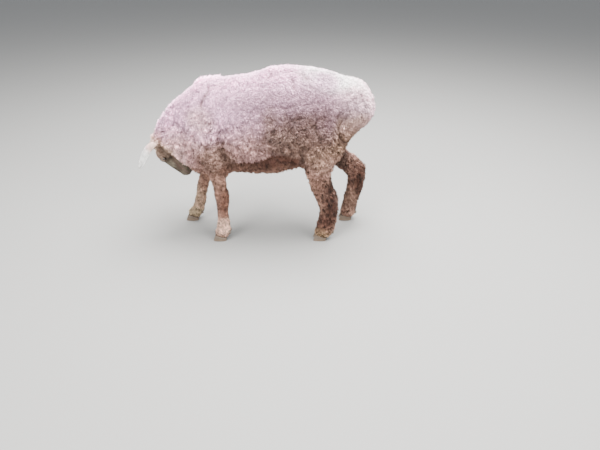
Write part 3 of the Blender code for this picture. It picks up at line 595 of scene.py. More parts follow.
# Colours of the coat, as light that the wool gives back. Each marking is a soft-edged ellipsoid: the
# sides it is on, middle, reach on each axis, colour, softness of its edge and strength. One on both
# sides has its middle on positive y. Each is laid over those before it.
LAVENDER_WHITE = (0.93, 0.57, 0.77, 1)
# The brown of grime, also laid on as painted shade between knots, in creases and in hollows.
GRIME_AND_SHADE = (0.15, 0.090, 0.070, 1)
BOTH, LEFT, RIGHT = "both", "left", "right"
MARKINGS = {
    "rump_cream": (BOTH, (0.43, 0, 0.8), (0.22, 0.4, 0.108), (0.94, 0.92, 0.91), 0.32, 1),
    "rump_pink": (BOTH, (0.44, 0, 0.66), (0.11, 0.4, 0.07), (0.98, 0.7, 0.77), 0.5, 1),
    "hip_purple": (BOTH, (0.3, 0.07, 0.75), (0.06, 0.09, 0.035), (0.76, 0.43, 0.63), 0.6, 0.7),
    "neck_pink": (BOTH, (-0.31, 0, 0.41), (0.16, 0.6, 0.13), (0.93, 0.59, 0.6), 0.45, 1),
    "neck_beige": (BOTH, (-0.22, 0.12, 0.6), (0.06, 0.1, 0.05), (0.8, 0.55, 0.52), 0.6, 0.6),
    "side_grey": (BOTH, (0.18, 0.17, 0.67), (0.26, 0.13, 0.08), (0.4, 0.24, 0.3), 0.5, 0.8),
    "flank_beige": (BOTH, (0.1, 0, 0.3), (0.44, 0.6, 0.3), (0.58, 0.34, 0.32), 0.25, 1),
    "rear_brown": (BOTH, (0.24, 0.17, 0.52), (0.19, 0.2, 0.14), (0.15, 0.088, 0.06), 0.45, 0.85),
    "stain_flank": (LEFT, (0.075, -0.17, 0.6), (0.035, 0.1, 0.055), (0.22, 0.135, 0.12), 0.7, 0.75),
    "stain_streak": (LEFT, (0.18, -0.17, 0.62), (0.04, 0.1, 0.025), (0.15, 0.088, 0.09), 0.7, 0.75),
    "stain_mid": (LEFT, (0.15, -0.17, 0.57), (0.05, 0.1, 0.035), (0.19, 0.115, 0.1), 0.8, 0.65),
    "stain_hip": (LEFT, (0.3, -0.15, 0.605), (0.042, 0.1, 0.034), (0.21, 0.12, 0.135), 0.7, 0.8),
    "stain_low": (LEFT, (0.12, -0.17, 0.535), (0.07, 0.1, 0.03), (0.24, 0.15, 0.125), 0.8, 0.7),
    "stain_right": (RIGHT, (0.13, 0.16, 0.57), (0.1, 0.1, 0.07), (0.3, 0.19, 0.17), 0.7, 0.65),
    "thigh_low": (BOTH, (0.31, 0.14, 0.43), (0.09, 0.2, 0.07), (0.46, 0.28, 0.205), 0.4, 0.7),
    "rump_low": (BOTH, (0.43, 0.1, 0.585), (0.08, 0.2, 0.05), (0.5, 0.32, 0.235), 0.5, 0.75),
    "under_rump": (BOTH, (0.41, 0.08, 0.5), (0.09, 0.25, 0.066), (0.27, 0.16, 0.105), 0.5, 0.9),
    "shoulder_low": (BOTH, (-0.17, 0.14, 0.42), (0.09, 0.2, 0.08), (0.3, 0.18, 0.13), 0.45, 0.8),
    # The belly's own brown, darkened further by painted shade, and below the ragged edge a strip of painted
    # shade.
    "belly": (BOTH, (0.03, 0, 0.365), (0.23, 0.4, 0.066), (0.105, 0.045, 0.028), 0.14, 0.95),
    "under_hem_brown_and_shade": (BOTH, (0.105, 0.14, 0.43), (0.085, 0.1, 0.035), (0.125, 0.055, 0.038), 0.14, 0.95),
    "legs": (BOTH, (0, 0, 0), (9, 9, 0.37), (0.47, 0.265, 0.195), 0.16, 1),
    "fore_left_red": (LEFT, (-0.15, -0.11, 0.21), (0.032, 0.06, 0.08), (0.19, 0.083, 0.055), 0.6, 0.9),
    "fore_left_pink": (LEFT, (-0.17, -0.11, 0.07), (0.06, 0.06, 0.05), (0.94, 0.62, 0.48), 0.45, 0.9),
    "fore_right_pale": (RIGHT, (-0.33, 0.09, 0.12), (0.06, 0.06, 0.09), (0.62, 0.42, 0.29), 0.4, 0.8),
    "fore_right_ochre": (RIGHT, (-0.345, 0.09, 0.04), (0.06, 0.06, 0.03), (0.46, 0.36, 0.22), 0.4, 0.8),
    "hind_left_front": (LEFT, (0.29, -0.11, 0.28), (0.045, 0.08, 0.07), (0.16, 0.078, 0.057), 0.6, 0.75),
    "hind_left_dark": (LEFT, (0.345, -0.11, 0.22), (0.042, 0.08, 0.125), (0.047, 0.017, 0.0115), 0.45, 0.95),
    "hind_left_brown": (LEFT, (0.305, -0.11, 0.1), (0.05, 0.08, 0.07), (0.092, 0.037, 0.025), 0.6, 0.9),
    "hind_left_ochre": (LEFT, (0.29, -0.11, 0.02), (0.07, 0.08, 0.04), (0.44, 0.28, 0.155), 0.65, 0.9),
    # The far hind thigh's inner side: its brown, darkened further by painted shade.
    "hind_right_brown_and_shade": (RIGHT, (0.39, 0.05, 0.35), (0.07, 0.06, 0.08), (0.07, 0.041, 0.031), 0.4, 0.9),
    "hind_right_hock": (RIGHT, (0.48, 0.09, 0.27), (0.07, 0.07, 0.07), (0.2, 0.1, 0.075), 0.4, 0.9),
    "hind_right_rear": (RIGHT, (0.51, 0.09, 0.2), (0.05, 0.09, 0.11), (0.085, 0.036, 0.024), 0.4, 0.95),
    "hind_right_cannon": (RIGHT, (0.445, 0.09, 0.12), (0.04, 0.07, 0.07), (0.28, 0.165, 0.12), 0.4, 0.8),
    "head": (BOTH, (-0.405, 0, 0.42), (0.085, 0.12, 0.085), (0.4, 0.28, 0.22), 0.25, 1),
    "poll": (BOTH, (-0.43, 0, 0.492), (0.05, 0.09, 0.04), (0.54, 0.32, 0.26), 0.5, 0.9),
    "cheek": (BOTH, (-0.425, 0.04, 0.435), (0.055, 0.09, 0.055), (0.74, 0.53, 0.41), 0.4, 0.9),
    "face": (BOTH, (-0.372, 0, 0.33), (0.075, 0.12, 0.085), (0.11, 0.084, 0.06), 0.25, 1),
    "nose_bridge": (BOTH, (-0.4, 0, 0.345), (0.03, 0.012, 0.045), (0.36, 0.31, 0.23), 0.7, 0.7),
    # A painted highlight along the rim of the neck's wool behind the jaw, in two parts.
    "painted_rim_highlight": (LEFT, (-0.345, -0.08, 0.425), (0.022, 0.06, 0.04), (0.95, 0.66, 0.65), 0.6, 0.8),
    "painted_rim_highlight_low": (LEFT, (-0.322, -0.05, 0.375), (0.022, 0.05, 0.03), (0.95, 0.66, 0.63), 0.6, 0.7),
    "muzzle": (BOTH, (-0.355, 0, 0.28), (0.03, 0.1, 0.025), (0.2, 0.165, 0.125), 0.5, 0.8),
    "ear_root": (BOTH, (-0.45, 0.07, 0.474), (0.03, 0.05, 0.022), (0.4, 0.285, 0.23), 0.4, 0.8),
    "ears": (BOTH, (-0.497, 0.093, 0.412), (0.063, 0.038, 0.064), (0.93, 0.92, 0.9), 0.22, 1),
}


MIX_SHARE, MIX_FIRST, MIX_SECOND, MIX_RESULT = 0, 6, 7, 2  # a Mix node's sockets for colours
WAVES = ((9.0, 0.050), (38.0, 0.026), (130.0, 0.010))  # the markings' ragged edges: scale and reach


def linked(tree, kind, inputs, **settings):
    """A new node with its settings made and its inputs either set or linked."""
    node = tree.nodes.new(kind)
    for key, value in settings.items():
        setattr(node, key, value)
    return wired(tree, node, inputs)


def own_place(tree):
    """A point's place on the animal."""
    return linked(tree, "ShaderNodeTexCoord", {}).outputs["Object"]


def attribute(tree, name, output="Fac"):
    """What the mesh holds at a point under a name."""
    return linked(tree, "ShaderNodeAttribute", {}, attribute_name=name).outputs[output]


def noise(tree, place, scale, detail=3.0, output=0):
    """Cloudy noise, as a height or as a colour."""
    inputs = {"Vector": place, "Scale": scale, "Detail": detail}
    return linked(tree, "ShaderNodeTexNoise", inputs).outputs[output]


def vector(tree, operation, inputs, output=0):
    """What an operation makes of one or two vectors."""
    return linked(tree, "ShaderNodeVectorMath", inputs, operation=operation).outputs[output]


def times(tree, first, second):
    """The product of two values."""
    return linked(tree, "ShaderNodeMath", {0: first, 1: second}, operation="MULTIPLY").outputs[0]


def ranged(tree, value, start, end, low=0.0, high=1.0, **settings):
    """A value that goes from low to high while another goes from start to end."""
    inputs = {"Value": value, "From Min": start, "From Max": end, "To Min": low, "To Max": high}
    return linked(tree, "ShaderNodeMapRange", inputs, **settings).outputs[0]


def mixed(tree, share, first, second):
    """The second colour laid over the first by a share."""
    inputs = {MIX_SHARE: share, MIX_FIRST: first, MIX_SECOND: second}
    return linked(tree, "ShaderNodeMix", inputs, data_type="RGBA").outputs[MIX_RESULT]


def brightened(tree, colour, value):
    """A colour with its brightness multiplied by a value."""
    return linked(tree, "ShaderNodeHueSaturation", {"Color": colour, "Value": value}).outputs["Color"]


def bumped(tree, height, strength, distance):
    """The surface's direction as if it were raised by a height."""
    inputs = {"Height": height, "Strength": strength, "Distance": distance}
    return linked(tree, "ShaderNodeBump", inputs).outputs[0]


def markings_group():
    """The coat's colours. A point of the animal and how much grime and painted shade it has go in, and its
    colour comes out.
    """
    tree = bpy.data.node_groups.new("coat_markings", "ShaderNodeTree")
    tree.interface.new_socket("Place", in_out="INPUT", socket_type="NodeSocketVector")
    tree.interface.new_socket("Grime_and_shade", in_out="INPUT", socket_type="NodeSocketFloat")
    tree.interface.new_socket("Colour", in_out="OUTPUT", socket_type="NodeSocketColor")
    group_in = tree.nodes.new("NodeGroupInput")
    place = wavy = group_in.outputs["Place"]
    for scale, size in WAVES:
        cloud = vector(tree, "ADD", {0: noise(tree, place, scale, 2.0, "Color"), 1: (-0.5, -0.5, -0.5)})
        wavy = vector(tree, "ADD", {0: wavy, 1: vector(tree, "SCALE", {0: cloud, "Scale": size})})
    one_side = linked(tree, "ShaderNodeSeparateXYZ", {0: vector(tree, "ABSOLUTE", {0: wavy})}).outputs
    whole = linked(tree, "ShaderNodeSeparateXYZ", {0: wavy}).outputs
    folded = linked(tree, "ShaderNodeCombineXYZ", {"X": whole["X"], "Y": one_side["Y"], "Z": whole["Z"]})
    colour = LAVENDER_WHITE
    for side, middle, reach, tint, soft, strength in MARKINGS.values():
        near = linked(tree, "ShaderNodeMapping", {
            "Vector": folded.outputs[0] if side is BOTH else wavy,
            "Location": tuple(-m / r for m, r in zip(middle, reach)),
            "Scale": tuple(1 / r for r in reach)})
        far = vector(tree, "LENGTH", {0: near.outputs[0]}, "Value")
        edge = ranged(tree, far, 1 + soft, 1 - soft, 0.0, strength, interpolation_type="SMOOTHSTEP")
        colour = mixed(tree, edge, colour, (*tint, 1))
    blotch = ranged(tree, noise(tree, place, 75.0), 0.3, 0.7, 0.74, 1.20)
    # Grime and painted shade laid over the blotched colour.
    grimed_and_shaded = mixed(tree, group_in.outputs["Grime_and_shade"], brightened(tree, colour, blotch), GRIME_AND_SHADE)
    wired(tree, tree.nodes.new("NodeGroupOutput"), {"Colour": grimed_and_shaded})
    return tree


MARKINGS_TREE = markings_group()


def marked(tree, place):
    """The coat's colour at a place, with the grime and painted shade that the mesh holds."""
    inputs = {"Place": place, "Grime_and_shade": attribute(tree, "grime_and_shade")}
    return linked(tree, "ShaderNodeGroup", inputs, node_tree=MARKINGS_TREE).outputs["Colour"]


BARE_SKIN = (0.12, 0.075, 0.062, 1)
HIDE_ROUGHNESS, BARE_ROUGHNESS = 0.88, 0.48


def hide_material():
    """Matt hide in the coat's colours, a little darker than the tips of the wool, and bare and
    brownish pink on the nose, the lips and the rims of the eyelids."""
    material = bpy.data.materials.new("hide")
    tree, shader = new_tree(material, "Principled BSDF")
    place, bareness = own_place(tree), attribute(tree, "bare")
    leather = brightened(tree, BARE_SKIN, ranged(tree, noise(tree, place, 180.0), 0, 1, 0.75, 1.2))
    wired(tree, shader, {
        "Base Color": mixed(tree, bareness, brightened(tree, marked(tree, place), 0.86), leather),
        "Roughness": ranged(tree, bareness, 0, 1, HIDE_ROUGHNESS, BARE_ROUGHNESS),
        "Normal": bumped(tree, noise(tree, place, 520.0, 2.0), 0.5, 0.001)})
    return material


def hold(mesh, name, values, kind="FLOAT"):
    """Values for the points of a mesh, held in it under a name."""
    field = "vector" if kind == "FLOAT_VECTOR" else "value"
    held = mesh.attributes.new(name, kind, "POINT").data
    held.foreach_set(field, np.asarray(values, np.float32).ravel())


skin = placed("skin", mesh_of("skin", skin_points, skin_triangles))
hold(skin.data, "bare", bare)
hold(skin.data, "grime_and_shade", grime_and_shade)
skin.data.materials.append(hide_material())
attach(skin, "root")
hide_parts(*FLESH)


# ---------------------------------------------------------------- eyes
# Glassy eyeballs of about 27 mm with a clear bulge in front, set behind the lids. Round the bulge
# the iris is amber brown, and the pupil is a wide dark slot along the slit of the lids.

BULGE_HEIGHT, BULGE_WIDTH = 0.0009, 0.42
PUPIL_HALF_LENGTH, PUPIL_HALF_HEIGHT, IRIS_REACH = 0.40, 0.13, 0.62  # shares of the eyeball's radius
PUPIL_BLACK = (0.004, 0.005, 0.008, 1)
IRIS_BROWN, IRIS_AMBER = (0.045, 0.018, 0.007, 1), (0.13, 0.06, 0.018, 1)
EYE_WHITE = (0.030, 0.018, 0.012, 1)


def eyeball_points(middle, axes, rings, count):
    """An eyeball: a ball whose radius swells at the front by a bell curve of the angle from its axis.
    Also its points in shares of the radius, in the eye's own axes. The poles come last."""
    tilt, turn = np.meshgrid(np.linspace(0, math.pi, rings + 2)[1:-1],
                             np.linspace(0, 2 * math.pi, count, endpoint=False), indexing="ij")
    tilt, turn = np.append(tilt, [0, math.pi]), np.append(turn, [0, 0])
    local = np.stack([np.sin(tilt) * np.cos(turn), np.sin(tilt) * np.sin(turn), np.cos(tilt)], axis=-1)
    radius = EYE_RADIUS + BULGE_HEIGHT * bell(tilt, BULGE_WIDTH)
    return middle + (local * radius[:, None]) @ axes.T, local


def ball_triangles(rings, count):
    """Triangles between neighbouring rings of a ball's points, and fans at its two poles."""
    i, j = np.meshgrid(np.arange(rings - 1), np.arange(count), indexing="ij")
    k = (j + 1) % count
    a, b, c, d = i * count + j, i * count + k, (i + 1) * count + j, (i + 1) * count + k
    around = np.arange(count)
    beside, last = (around + 1) % count, (rings - 1) * count
    front = np.stack([np.full(count, rings * count), around, beside], axis=-1)
    back = np.stack([np.full(count, rings * count + 1), last + beside, last + around], axis=-1)
    return np.concatenate([np.stack([a, c, d], -1).reshape(-1, 3), np.stack([a, d, b], -1).reshape(-1, 3),
                           front, back])


def eye_material():
    """Wet, clear-coated eye: dark slot of a pupil, amber brown iris with a dark rim, brown white. The
    slot is where the sum of the fourth powers of both ways across it is below one."""
    material = bpy.data.materials.new("wet_eye")
    tree, shader = new_tree(material, "Principled BSDF")
    look = attribute(tree, "look", "Vector")
    parts = linked(tree, "ShaderNodeSeparateXYZ", {0: look}).outputs
    flat = linked(tree, "ShaderNodeCombineXYZ", {"X": parts["X"], "Y": parts["Y"]}).outputs[0]
    away = vector(tree, "LENGTH", {0: flat}, "Value")
    iris = mixed(tree, noise(tree, look, 9.0), IRIS_BROWN, IRIS_AMBER)
    rimmed = mixed(tree, ranged(tree, away, IRIS_REACH - 0.10, IRIS_REACH), iris, EYE_WHITE)
    slot_size = (1 / PUPIL_HALF_LENGTH, 1 / PUPIL_HALF_HEIGHT, 0)
    slot = linked(tree, "ShaderNodeMapping", {"Vector": flat, "Scale": slot_size}).outputs[0]
    squares = vector(tree, "MULTIPLY", {0: slot, 1: slot})
    fourth = vector(tree, "DOT_PRODUCT", {0: squares, 1: squares}, "Value")
    wired(tree, shader, {
        "Base Color": mixed(tree, ranged(tree, fourth, 1.25, 0.80), rimmed, PUPIL_BLACK),
        "Roughness": 0.12, "Coat Weight": 1.0, "Coat Roughness": 0.03})
    return material


def outward(points, triangles):
    """The triangles of a closed shape, turned round if they point inwards: its volume shows which."""
    a, b, c = (points[triangles[:, k]] - points.mean(axis=0) for k in range(3))
    return triangles if (a * np.cross(b, c)).sum() > 0 else triangles[:, ::-1]


EYE_RINGS, EYE_COUNT = 30, 40
wet_eye = eye_material()
for node, side in (("eye_left", 1), ("eye_right", -1)):
    ball, look = eyeball_points(*eye_axes(side), EYE_RINGS, EYE_COUNT)
    mesh = mesh_of("ball_" + node, ball, outward(ball, ball_triangles(EYE_RINGS, EYE_COUNT)))
    hold(mesh, "look", look, "FLOAT_VECTOR")
    eyeball = placed("ball_" + node, mesh)
    eyeball.data.materials.append(wet_eye)
    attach(eyeball, "root")
    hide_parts(node)


# ---------------------------------------------------------------- claws
# Two horn claws and two dewclaws to a foot, grown in rings from the coronet, worn flat below and
# chipped along the edge.

FEET = ("fore_left", "fore_right", "hind_left", "hind_right")
CLAW_VOXEL = 0.0014
RING_GAP, RING_HEIGHT = 0.0031, 0.00022  # growth rings of the horn
CHIP_HEIGHT = 0.0004
SOLE = 0.0007  # points lower than this belong to the flat sole
HORN_DARK, HORN_PALE = (0.045, 0.033, 0.025, 1), (0.17, 0.125, 0.09, 1)
DUST, DUST_TOP = (0.20, 0.13, 0.085, 1), 0.016
STREAKS = (260.0, 260.0, 40.0)  # fine across the wall of the claw, and long down it


def horn_points(points, triangles):
    """Horn worn smooth: relaxed, ringed by fine waves that run level with the coronet, flat below."""
    worn = relaxed(points, edges_of(triangles), 3, 0.5, 0.52)
    normals = point_normals(worn, triangles)
    slope = worn[:, 2] + 0.35 * (worn[:, 0] - worn[:, 0].mean())
    wall = smoothstep(worn[:, 2], 0.002, 0.006) * (1 - np.abs(normals[:, 2])) ** 0.5
    rings = RING_HEIGHT * np.sin(2 * math.pi * slope / RING_GAP + 1.2 * wander(worn, 0.02, 21))
    chips = CHIP_HEIGHT * wander(worn, 0.006, 22) * (1 - smoothstep(worn[:, 2], 0.003, 0.009))
    worn += normals * (wall * (rings + chips))[:, None]
    worn[:, 2] = np.where(points[:, 2] < SOLE, 0.0, np.maximum(worn[:, 2], 0.0))
    return worn


def horn_material():
    """Dull grey-brown horn in streaks along the wall, and dusty below."""
    material = bpy.data.materials.new("horn")
    tree, shader = new_tree(material, "Principled BSDF")
    place = own_place(tree)
    stretched = linked(tree, "ShaderNodeMapping", {"Vector": place, "Scale": STREAKS})
    streaks = noise(tree, stretched.outputs[0], 1.0)
    height = linked(tree, "ShaderNodeSeparateXYZ", {0: place}).outputs["Z"]
    dusty = times(tree, ranged(tree, height, DUST_TOP, 0.0), noise(tree, place, 120.0))
    wired(tree, shader, {
        "Base Color": mixed(tree, dusty, mixed(tree, streaks, HORN_DARK, HORN_PALE), DUST),
        "Normal": bumped(tree, streaks, 0.4, 0.0006), "Roughness": 0.55})
    return material


horn = horn_material()
for foot in FEET:
    nodes = [f"{part}_{foot}_{side}" for part in ("claw", "dewclaw") for side in ("inner", "outer")]
    parts = [remeshed(*welded(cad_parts[node].data), CLAW_VOXEL) for node in nodes]
    worn = [(horn_points(*part), part[1]) for part in parts]
    claws = placed("claws_" + foot, mesh_of("claws_" + foot, *joined(worn)))
    claws.data.materials.append(horn)
    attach(claws, "root")
    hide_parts(*nodes)


# ---------------------------------------------------------------- coat
# Shorn wool on the body and short hair on the legs, face and ears. Each lock is a thin closed
# spike of wool with its root in the skin, bent over to lie the way the coat lies.

SINK = 0.0006  # how deep a root sits in the skin
COMB_GAP = 0.0135  # between the fine ripples that the shears' comb leaves
BEND = 0.55  # the share of a lock below its bend
FLATNESS = 0.55  # thickness of a lock against its width
PATCH = 0.0015  # half of a lock's patch in its map
RING = np.radians([0, 90, 180])  # a lock's three sides: right edge, back, left edge
LOCK_PATCH = ((1, -1), (0, -1.3), (-1, -1), (1, 0), (0, 0.1), (-1, 0))  # its points in the patch
EAR_ROOT, EAR_TIP = (-0.44, 0.068, 0.479), (-0.52, 0.10, 0.37)  # of the right ear


def hashed(cells, seed):
    """A number from 0 to 1 for each cell of space: what is left of a large sine of its place."""
    mixed = np.sin(cells @ np.array([127.1, 311.7, 74.7]) + seed * 57.3) * 43758.5453
    return mixed - np.floor(mixed)


def clump_middles(points, size, seed):
    """The middle of each point's clump. Space is cut in cubes with a middle at random in each."""
    cell = np.floor(points / size)
    best = np.full(len(points), np.inf)
    middles = points.copy()
    for step in itertools.product((-1, 0, 1), repeat=3):
        here = cell + step
        middle = (here + np.stack([hashed(here, seed + k) for k in range(3)], axis=1)) * size
        gap = ((middle - points) ** 2).sum(axis=1)
        nearer = gap < best
        best[nearer], middles[nearer] = gap[nearer], middle[nearer]
    return middles


def flat_on(vectors, normals):
    """The part of each vector that lies in the skin's plane, made one long."""
    return unit(vectors - (vectors * normals).sum(axis=1, keepdims=True) * normals)


def ear_way(points):
    """From the root of the nearer ear towards its tip."""
    way = np.tile(np.subtract(EAR_TIP, EAR_ROOT), (len(points), 1))
    way[:, 1] *= np.sign(points[:, 1])
    return unit(way)


# How strongly the locks of each kind lean together in clumps.
LEAN = {"wool": 0.34 + 0.46 * rough, "neck": 0.40 + 0.34 * rough, "rump": 0.40, "thigh": 0.68,
        "fore_shank": 0.70, "hind_shank": 0.85, "poll": 0.75, "face": 0.30, "ear": 0.0}
skin_lean = sum(kinds[kind] * lean for kind, lean in LEAN.items())

# Where the coat is shaggy: middle, reach on each axis and how much longer the locks are. First behind
# the four shanks, most of all the near hind one, then on the back, rump, withers and neck.
SHAGGY = (((0.345, -0.11, 0.2), (0.045, 0.09, 0.13), 0.75), ((0.505, 0.09, 0.2), (0.035, 0.08, 0.12), 0.45),
          ((-0.145, -0.11, 0.2), (0.03, 0.08, 0.1), 0.45), ((-0.28, 0.09, 0.2), (0.03, 0.08, 0.1), 0.35),
          ((0.1, 0, 0.785), (0.065, 0.05, 0.03), 0.7), ((0.53, 0, 0.66), (0.04, 0.12, 0.07), 0.5),
          ((-0.215, 0, 0.73), (0.06, 0.05, 0.03), 0.6), ((-0.37, 0, 0.63), (0.05, 0.06, 0.05), 0.4))
skin_shag = np.ones(len(skin_points))
for shag_middle, shag_reach, more in SHAGGY:
    skin_shag += more * np.exp(-(((skin_points - shag_middle) / shag_reach) ** 2).sum(axis=1))

# The way that each kind lies: back and down on the body, down on the legs, up the face to the poll.
sideways = np.clip(skin_points[:, 1] / 0.08, -1, 1)
ones = np.ones(len(skin_points))
body_way = np.stack([0.55 * ones, 0.45 * sideways, -0.25 - 0.9 * np.abs(sideways)], axis=1)
rump_way = np.stack([0.35 * ones, 0.3 * sideways, -0.8 * ones], axis=1)
leg_way = np.array([0.12, 0.0, -1.0])
head_way = 0.35 * head_v * np.sign(head_place[:, 1])[:, None] - head_u
ways = {"wool": body_way, "neck": body_way, "rump": rump_way, "thigh": leg_way + 0.4 * body_way,
        "fore_shank": leg_way, "hind_shank": leg_way, "poll": head_way, "face": head_way,
        "ear": ear_way(skin_points)}
skin_normals = point_normals(skin_points, skin_triangles)
skin_lie = flat_on(sum(kinds[kind][:, None] * ways[kind] for kind in COAT), skin_normals)
skin_lie = flat_on(relaxed(skin_lie, skin_edges, 6), skin_normals)


def scattered(triangles, draw):
    """Roots spread evenly over some of the skin's triangles. Each triangle gets its area over the
    square of the gap between roots, carried over from one to the next, at places drawn at random."""
    area = np.linalg.norm(face_normals(skin_points, triangles), axis=1) / 2
    wanted = np.cumsum(area / coat_values[triangles, 3].mean(axis=1) ** 2)
    counts = np.diff(np.floor(wanted), prepend=0).astype(int)
    chosen = triangles[np.repeat(np.arange(len(triangles)), counts)]
    a, b = draw.random((2, len(chosen)))
    a, b = np.where(a + b > 1, 1 - a, a), np.where(a + b > 1, 1 - b, b)
    return chosen, np.stack([1 - a - b, a, b], axis=1)


def at(values, chosen, weights):
    """Values of the skin's points, read at the roots."""
    return (values[chosen] * (weights[..., None] if values.ndim > 1 else weights)).sum(axis=1)


def unwrapped(points, middle, axis):
    """The skin's own map: the angle around an axis, and the way along it, each stretched to 0 to 1."""
    axis = np.array(axis, float) / np.linalg.norm(axis)
    first = unit(np.cross(axis, [[0.31, 0.87, 0.41]]))[0]
    second = np.cross(axis, first)
    arms = points - middle
    angle = np.arctan2(arms @ second, arms @ first)
    flat = np.stack([angle, arms @ axis], axis=1)
    low, high = flat.min(axis=0), flat.max(axis=0)
    return 0.004 + 0.992 * (flat - low) / (high - low)


def spine_faces(rings):
    """Triangles of one lock: three sides from ring to ring, three up to the tip, one under the root."""
    around = [(k, (k + 1) % 3) for k in range(3)]
    faces = [(0, 2, 1)] + [(3 * rings - 3 + k, 3 * rings - 3 + j, 3 * rings) for k, j in around]
    for base in range(0, 3 * rings - 3, 3):
        faces += [(base + k, base + j, base + j + 3) for k, j in around]
        faces += [(base + k, base + j + 3, base + k + 3) for k, j in around]
    return np.array(faces)


def clumped(root, normal, lean, size, seed):
    """How far each lock is drawn to the middles of its large and its small clump, from 0 to 1 how
    near it is to the clump's edge, and the clump's own tone."""
    large, small = (clump_middles(root, reach, seed + 3) for reach in (size, 0.55 * size))
    pull = 0.55 * large + 0.45 * small - root
    pull -= (pull * normal).sum(axis=1, keepdims=True) * normal
    edge = np.clip(np.linalg.norm(pull, axis=1) / (0.42 * size), 0, 1)
    tone = 0.6 * hashed(np.round(large * 1e4), seed) + 0.4 * hashed(np.round(small * 1e4), seed)
    return pull * lean[:, None], edge, tone


def lock_points(stations, side, half, tip):
    """Three points around each station of every lock, and its tip. A station is a middle, the way
    that the lock goes there, and its share of the lock's width."""
    points = np.empty((len(tip), 3 * len(stations) + 1, 3))
    for ring, (middle, way, size) in enumerate(stations):
        back = np.cross(way, side)
        for k, angle in enumerate(RING):
            arm = side * math.cos(angle) - back * (math.sin(angle) * FLATNESS)
            points[:, ring * 3 + k] = middle + arm * (half * size)[:, None]
    points[:, -1] = tip
    return points


BARE_LIMIT = 0.35  # skin more bare than this grows no hair
LENGTH_SPREAD, WIDTH_SPREAD = (0.72, 1.22), (0.75, 1.25)  # shortest and longest, thinnest and thickest
STAND_SPREAD, DROOP_SPREAD = 9, 12  # in degrees, at the root and at the tip
HEM_LONGER, HEM_FLATTER = 0.8, 0.5  # locks at the ragged edge over the belly
BEND_PULL = 0.4  # the share of the pull to the clump's middle that a lock has at its bend
BEND_WIDTH = 0.85
BEND_GRIME_AND_SHADE, TIP_GRIME_AND_SHADE = 0.8, 0.45  # against the grime and painted shade at the root
TONE_LOW, TONE_HIGH = -0.9, 1.6


def grow(name, triangles, seed, material, middle, axis, curl=0.25, bent=True, clump_size=0.018):
    """A coat of locks on some of the skin's triangles, as one piece with its own map."""
    draw = np.random.default_rng(seed)
    chosen, weights = scattered(triangles, draw)
    haired = at(bare, chosen, weights) < BARE_LIMIT
    chosen, weights = chosen[haired], weights[haired]
    root, normal, lie, sizes, lean, shag = (at(values, chosen, weights) for values in (
        skin_points, skin_normals, skin_lie, coat_values, skin_lean, skin_shag))
    normal, count = unit(normal), len(root)
    lie = flat_on(lie, normal)
    _, length, half, _, stand, droop = sizes.T

    # Each lock's own turn, length, width and slope.
    side = np.cross(normal, lie)
    turn = (0.35 * wander(root, 0.11, seed + 1) + draw.normal(0, 0.15 + 0.7 * curl, count))[:, None]
    lie, side = lie * np.cos(turn) + side * np.sin(turn), side * np.cos(turn) - lie * np.sin(turn)
    hem = hem_share(root)
    ripple = 2 * math.pi * (root[:, 0] + 0.3 * root[:, 2]) / COMB_GAP
    comb = np.sin(ripple + 2.2 * wander(root, 0.09, seed + 4))
    length = length * draw.uniform(*LENGTH_SPREAD, count) * (1 + 0.10 * wander(root, 0.05, seed + 2))
    length *= (1 + 0.09 * comb) * (1 + HEM_LONGER * hem) * shag
    half = half * draw.uniform(*WIDTH_SPREAD, count)
    stand = np.radians(stand + draw.normal(0, STAND_SPREAD, count)) * (1 - HEM_FLATTER * hem)
    droop = np.radians(droop + draw.normal(0, DROOP_SPREAD, count))
    pull, edge, clump_tone = clumped(root, normal, lean, clump_size, seed)
    length *= 1 + lean * (0.45 - 0.95 * edge)

    first = normal * np.sin(stand)[:, None] + lie * np.cos(stand)[:, None]
    last = normal * np.sin(droop)[:, None] + lie * np.cos(droop)[:, None]
    last = unit(last + side * (curl * draw.normal(0, 1, count))[:, None])
    low = root - normal * SINK
    mid = root + first * (length * BEND)[:, None] + pull * BEND_PULL
    tip = mid + last * (length * (1 - BEND))[:, None] + pull * (1 - BEND_PULL)
    stations = [(low, first, 1.0), (mid, unit(first + last), BEND_WIDTH)][:1 + bent]
    points = lock_points(stations, side, half, tip)
    each = points.shape[1]
    faces = (spine_faces(len(stations))[None] + each * np.arange(count)[:, None, None]).reshape(-1, 3)
    mesh = mesh_of(name, points.reshape(-1, 3), faces)

    patch = np.array(LOCK_PATCH[:each - 1] + ((0, 1),)) * PATCH
    spot = unwrapped(root, np.array(middle), axis)
    uv = np.clip((spot[:, None] + patch[None]).reshape(-1, 2), 0, 1)[faces.ravel()]
    mesh.uv_layers.new(name="OFBake").data.foreach_set("uv", uv.astype(np.float32).ravel())
    # Lock tone: random and by clump, with painted shade along comb ripples and clump edges, painted
    # highlight on ridges.
    tone = draw.random(count) * 0.75 + 0.25 * (0.5 + 0.5 * comb)
    tone = 0.5 + (tone - 0.5) * 0.8 + lean * (2.1 * (clump_tone - 0.5) + 0.55 - 0.9 * edge)
    tone = np.clip(tone + 1.1 * at(ridge_highlight, chosen, weights), TONE_LOW, TONE_HIGH)
    # Grime and painted shade fade from the root towards the tip; in the creases painted shade reaches the
    # tips.
    fade = np.tile(([1.0] * 3 + [BEND_GRIME_AND_SHADE] * 3)[:each - 1] + [TIP_GRIME_AND_SHADE], (count, 1))
    fade[:, -1] += 0.55 * at(crease, chosen, weights)
    hold(mesh, "shade", np.repeat(tone, each))
    hold(mesh, "along", np.tile(([0.0] * 3 + [BEND] * 3)[:each - 1] + [1.0], count))
    hold(mesh, "grime_and_shade", at(grime_and_shade, chosen, weights)[:, None] * fade)
    mesh.materials.append(material)
    piece = placed(name, mesh)
    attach(piece, "root")


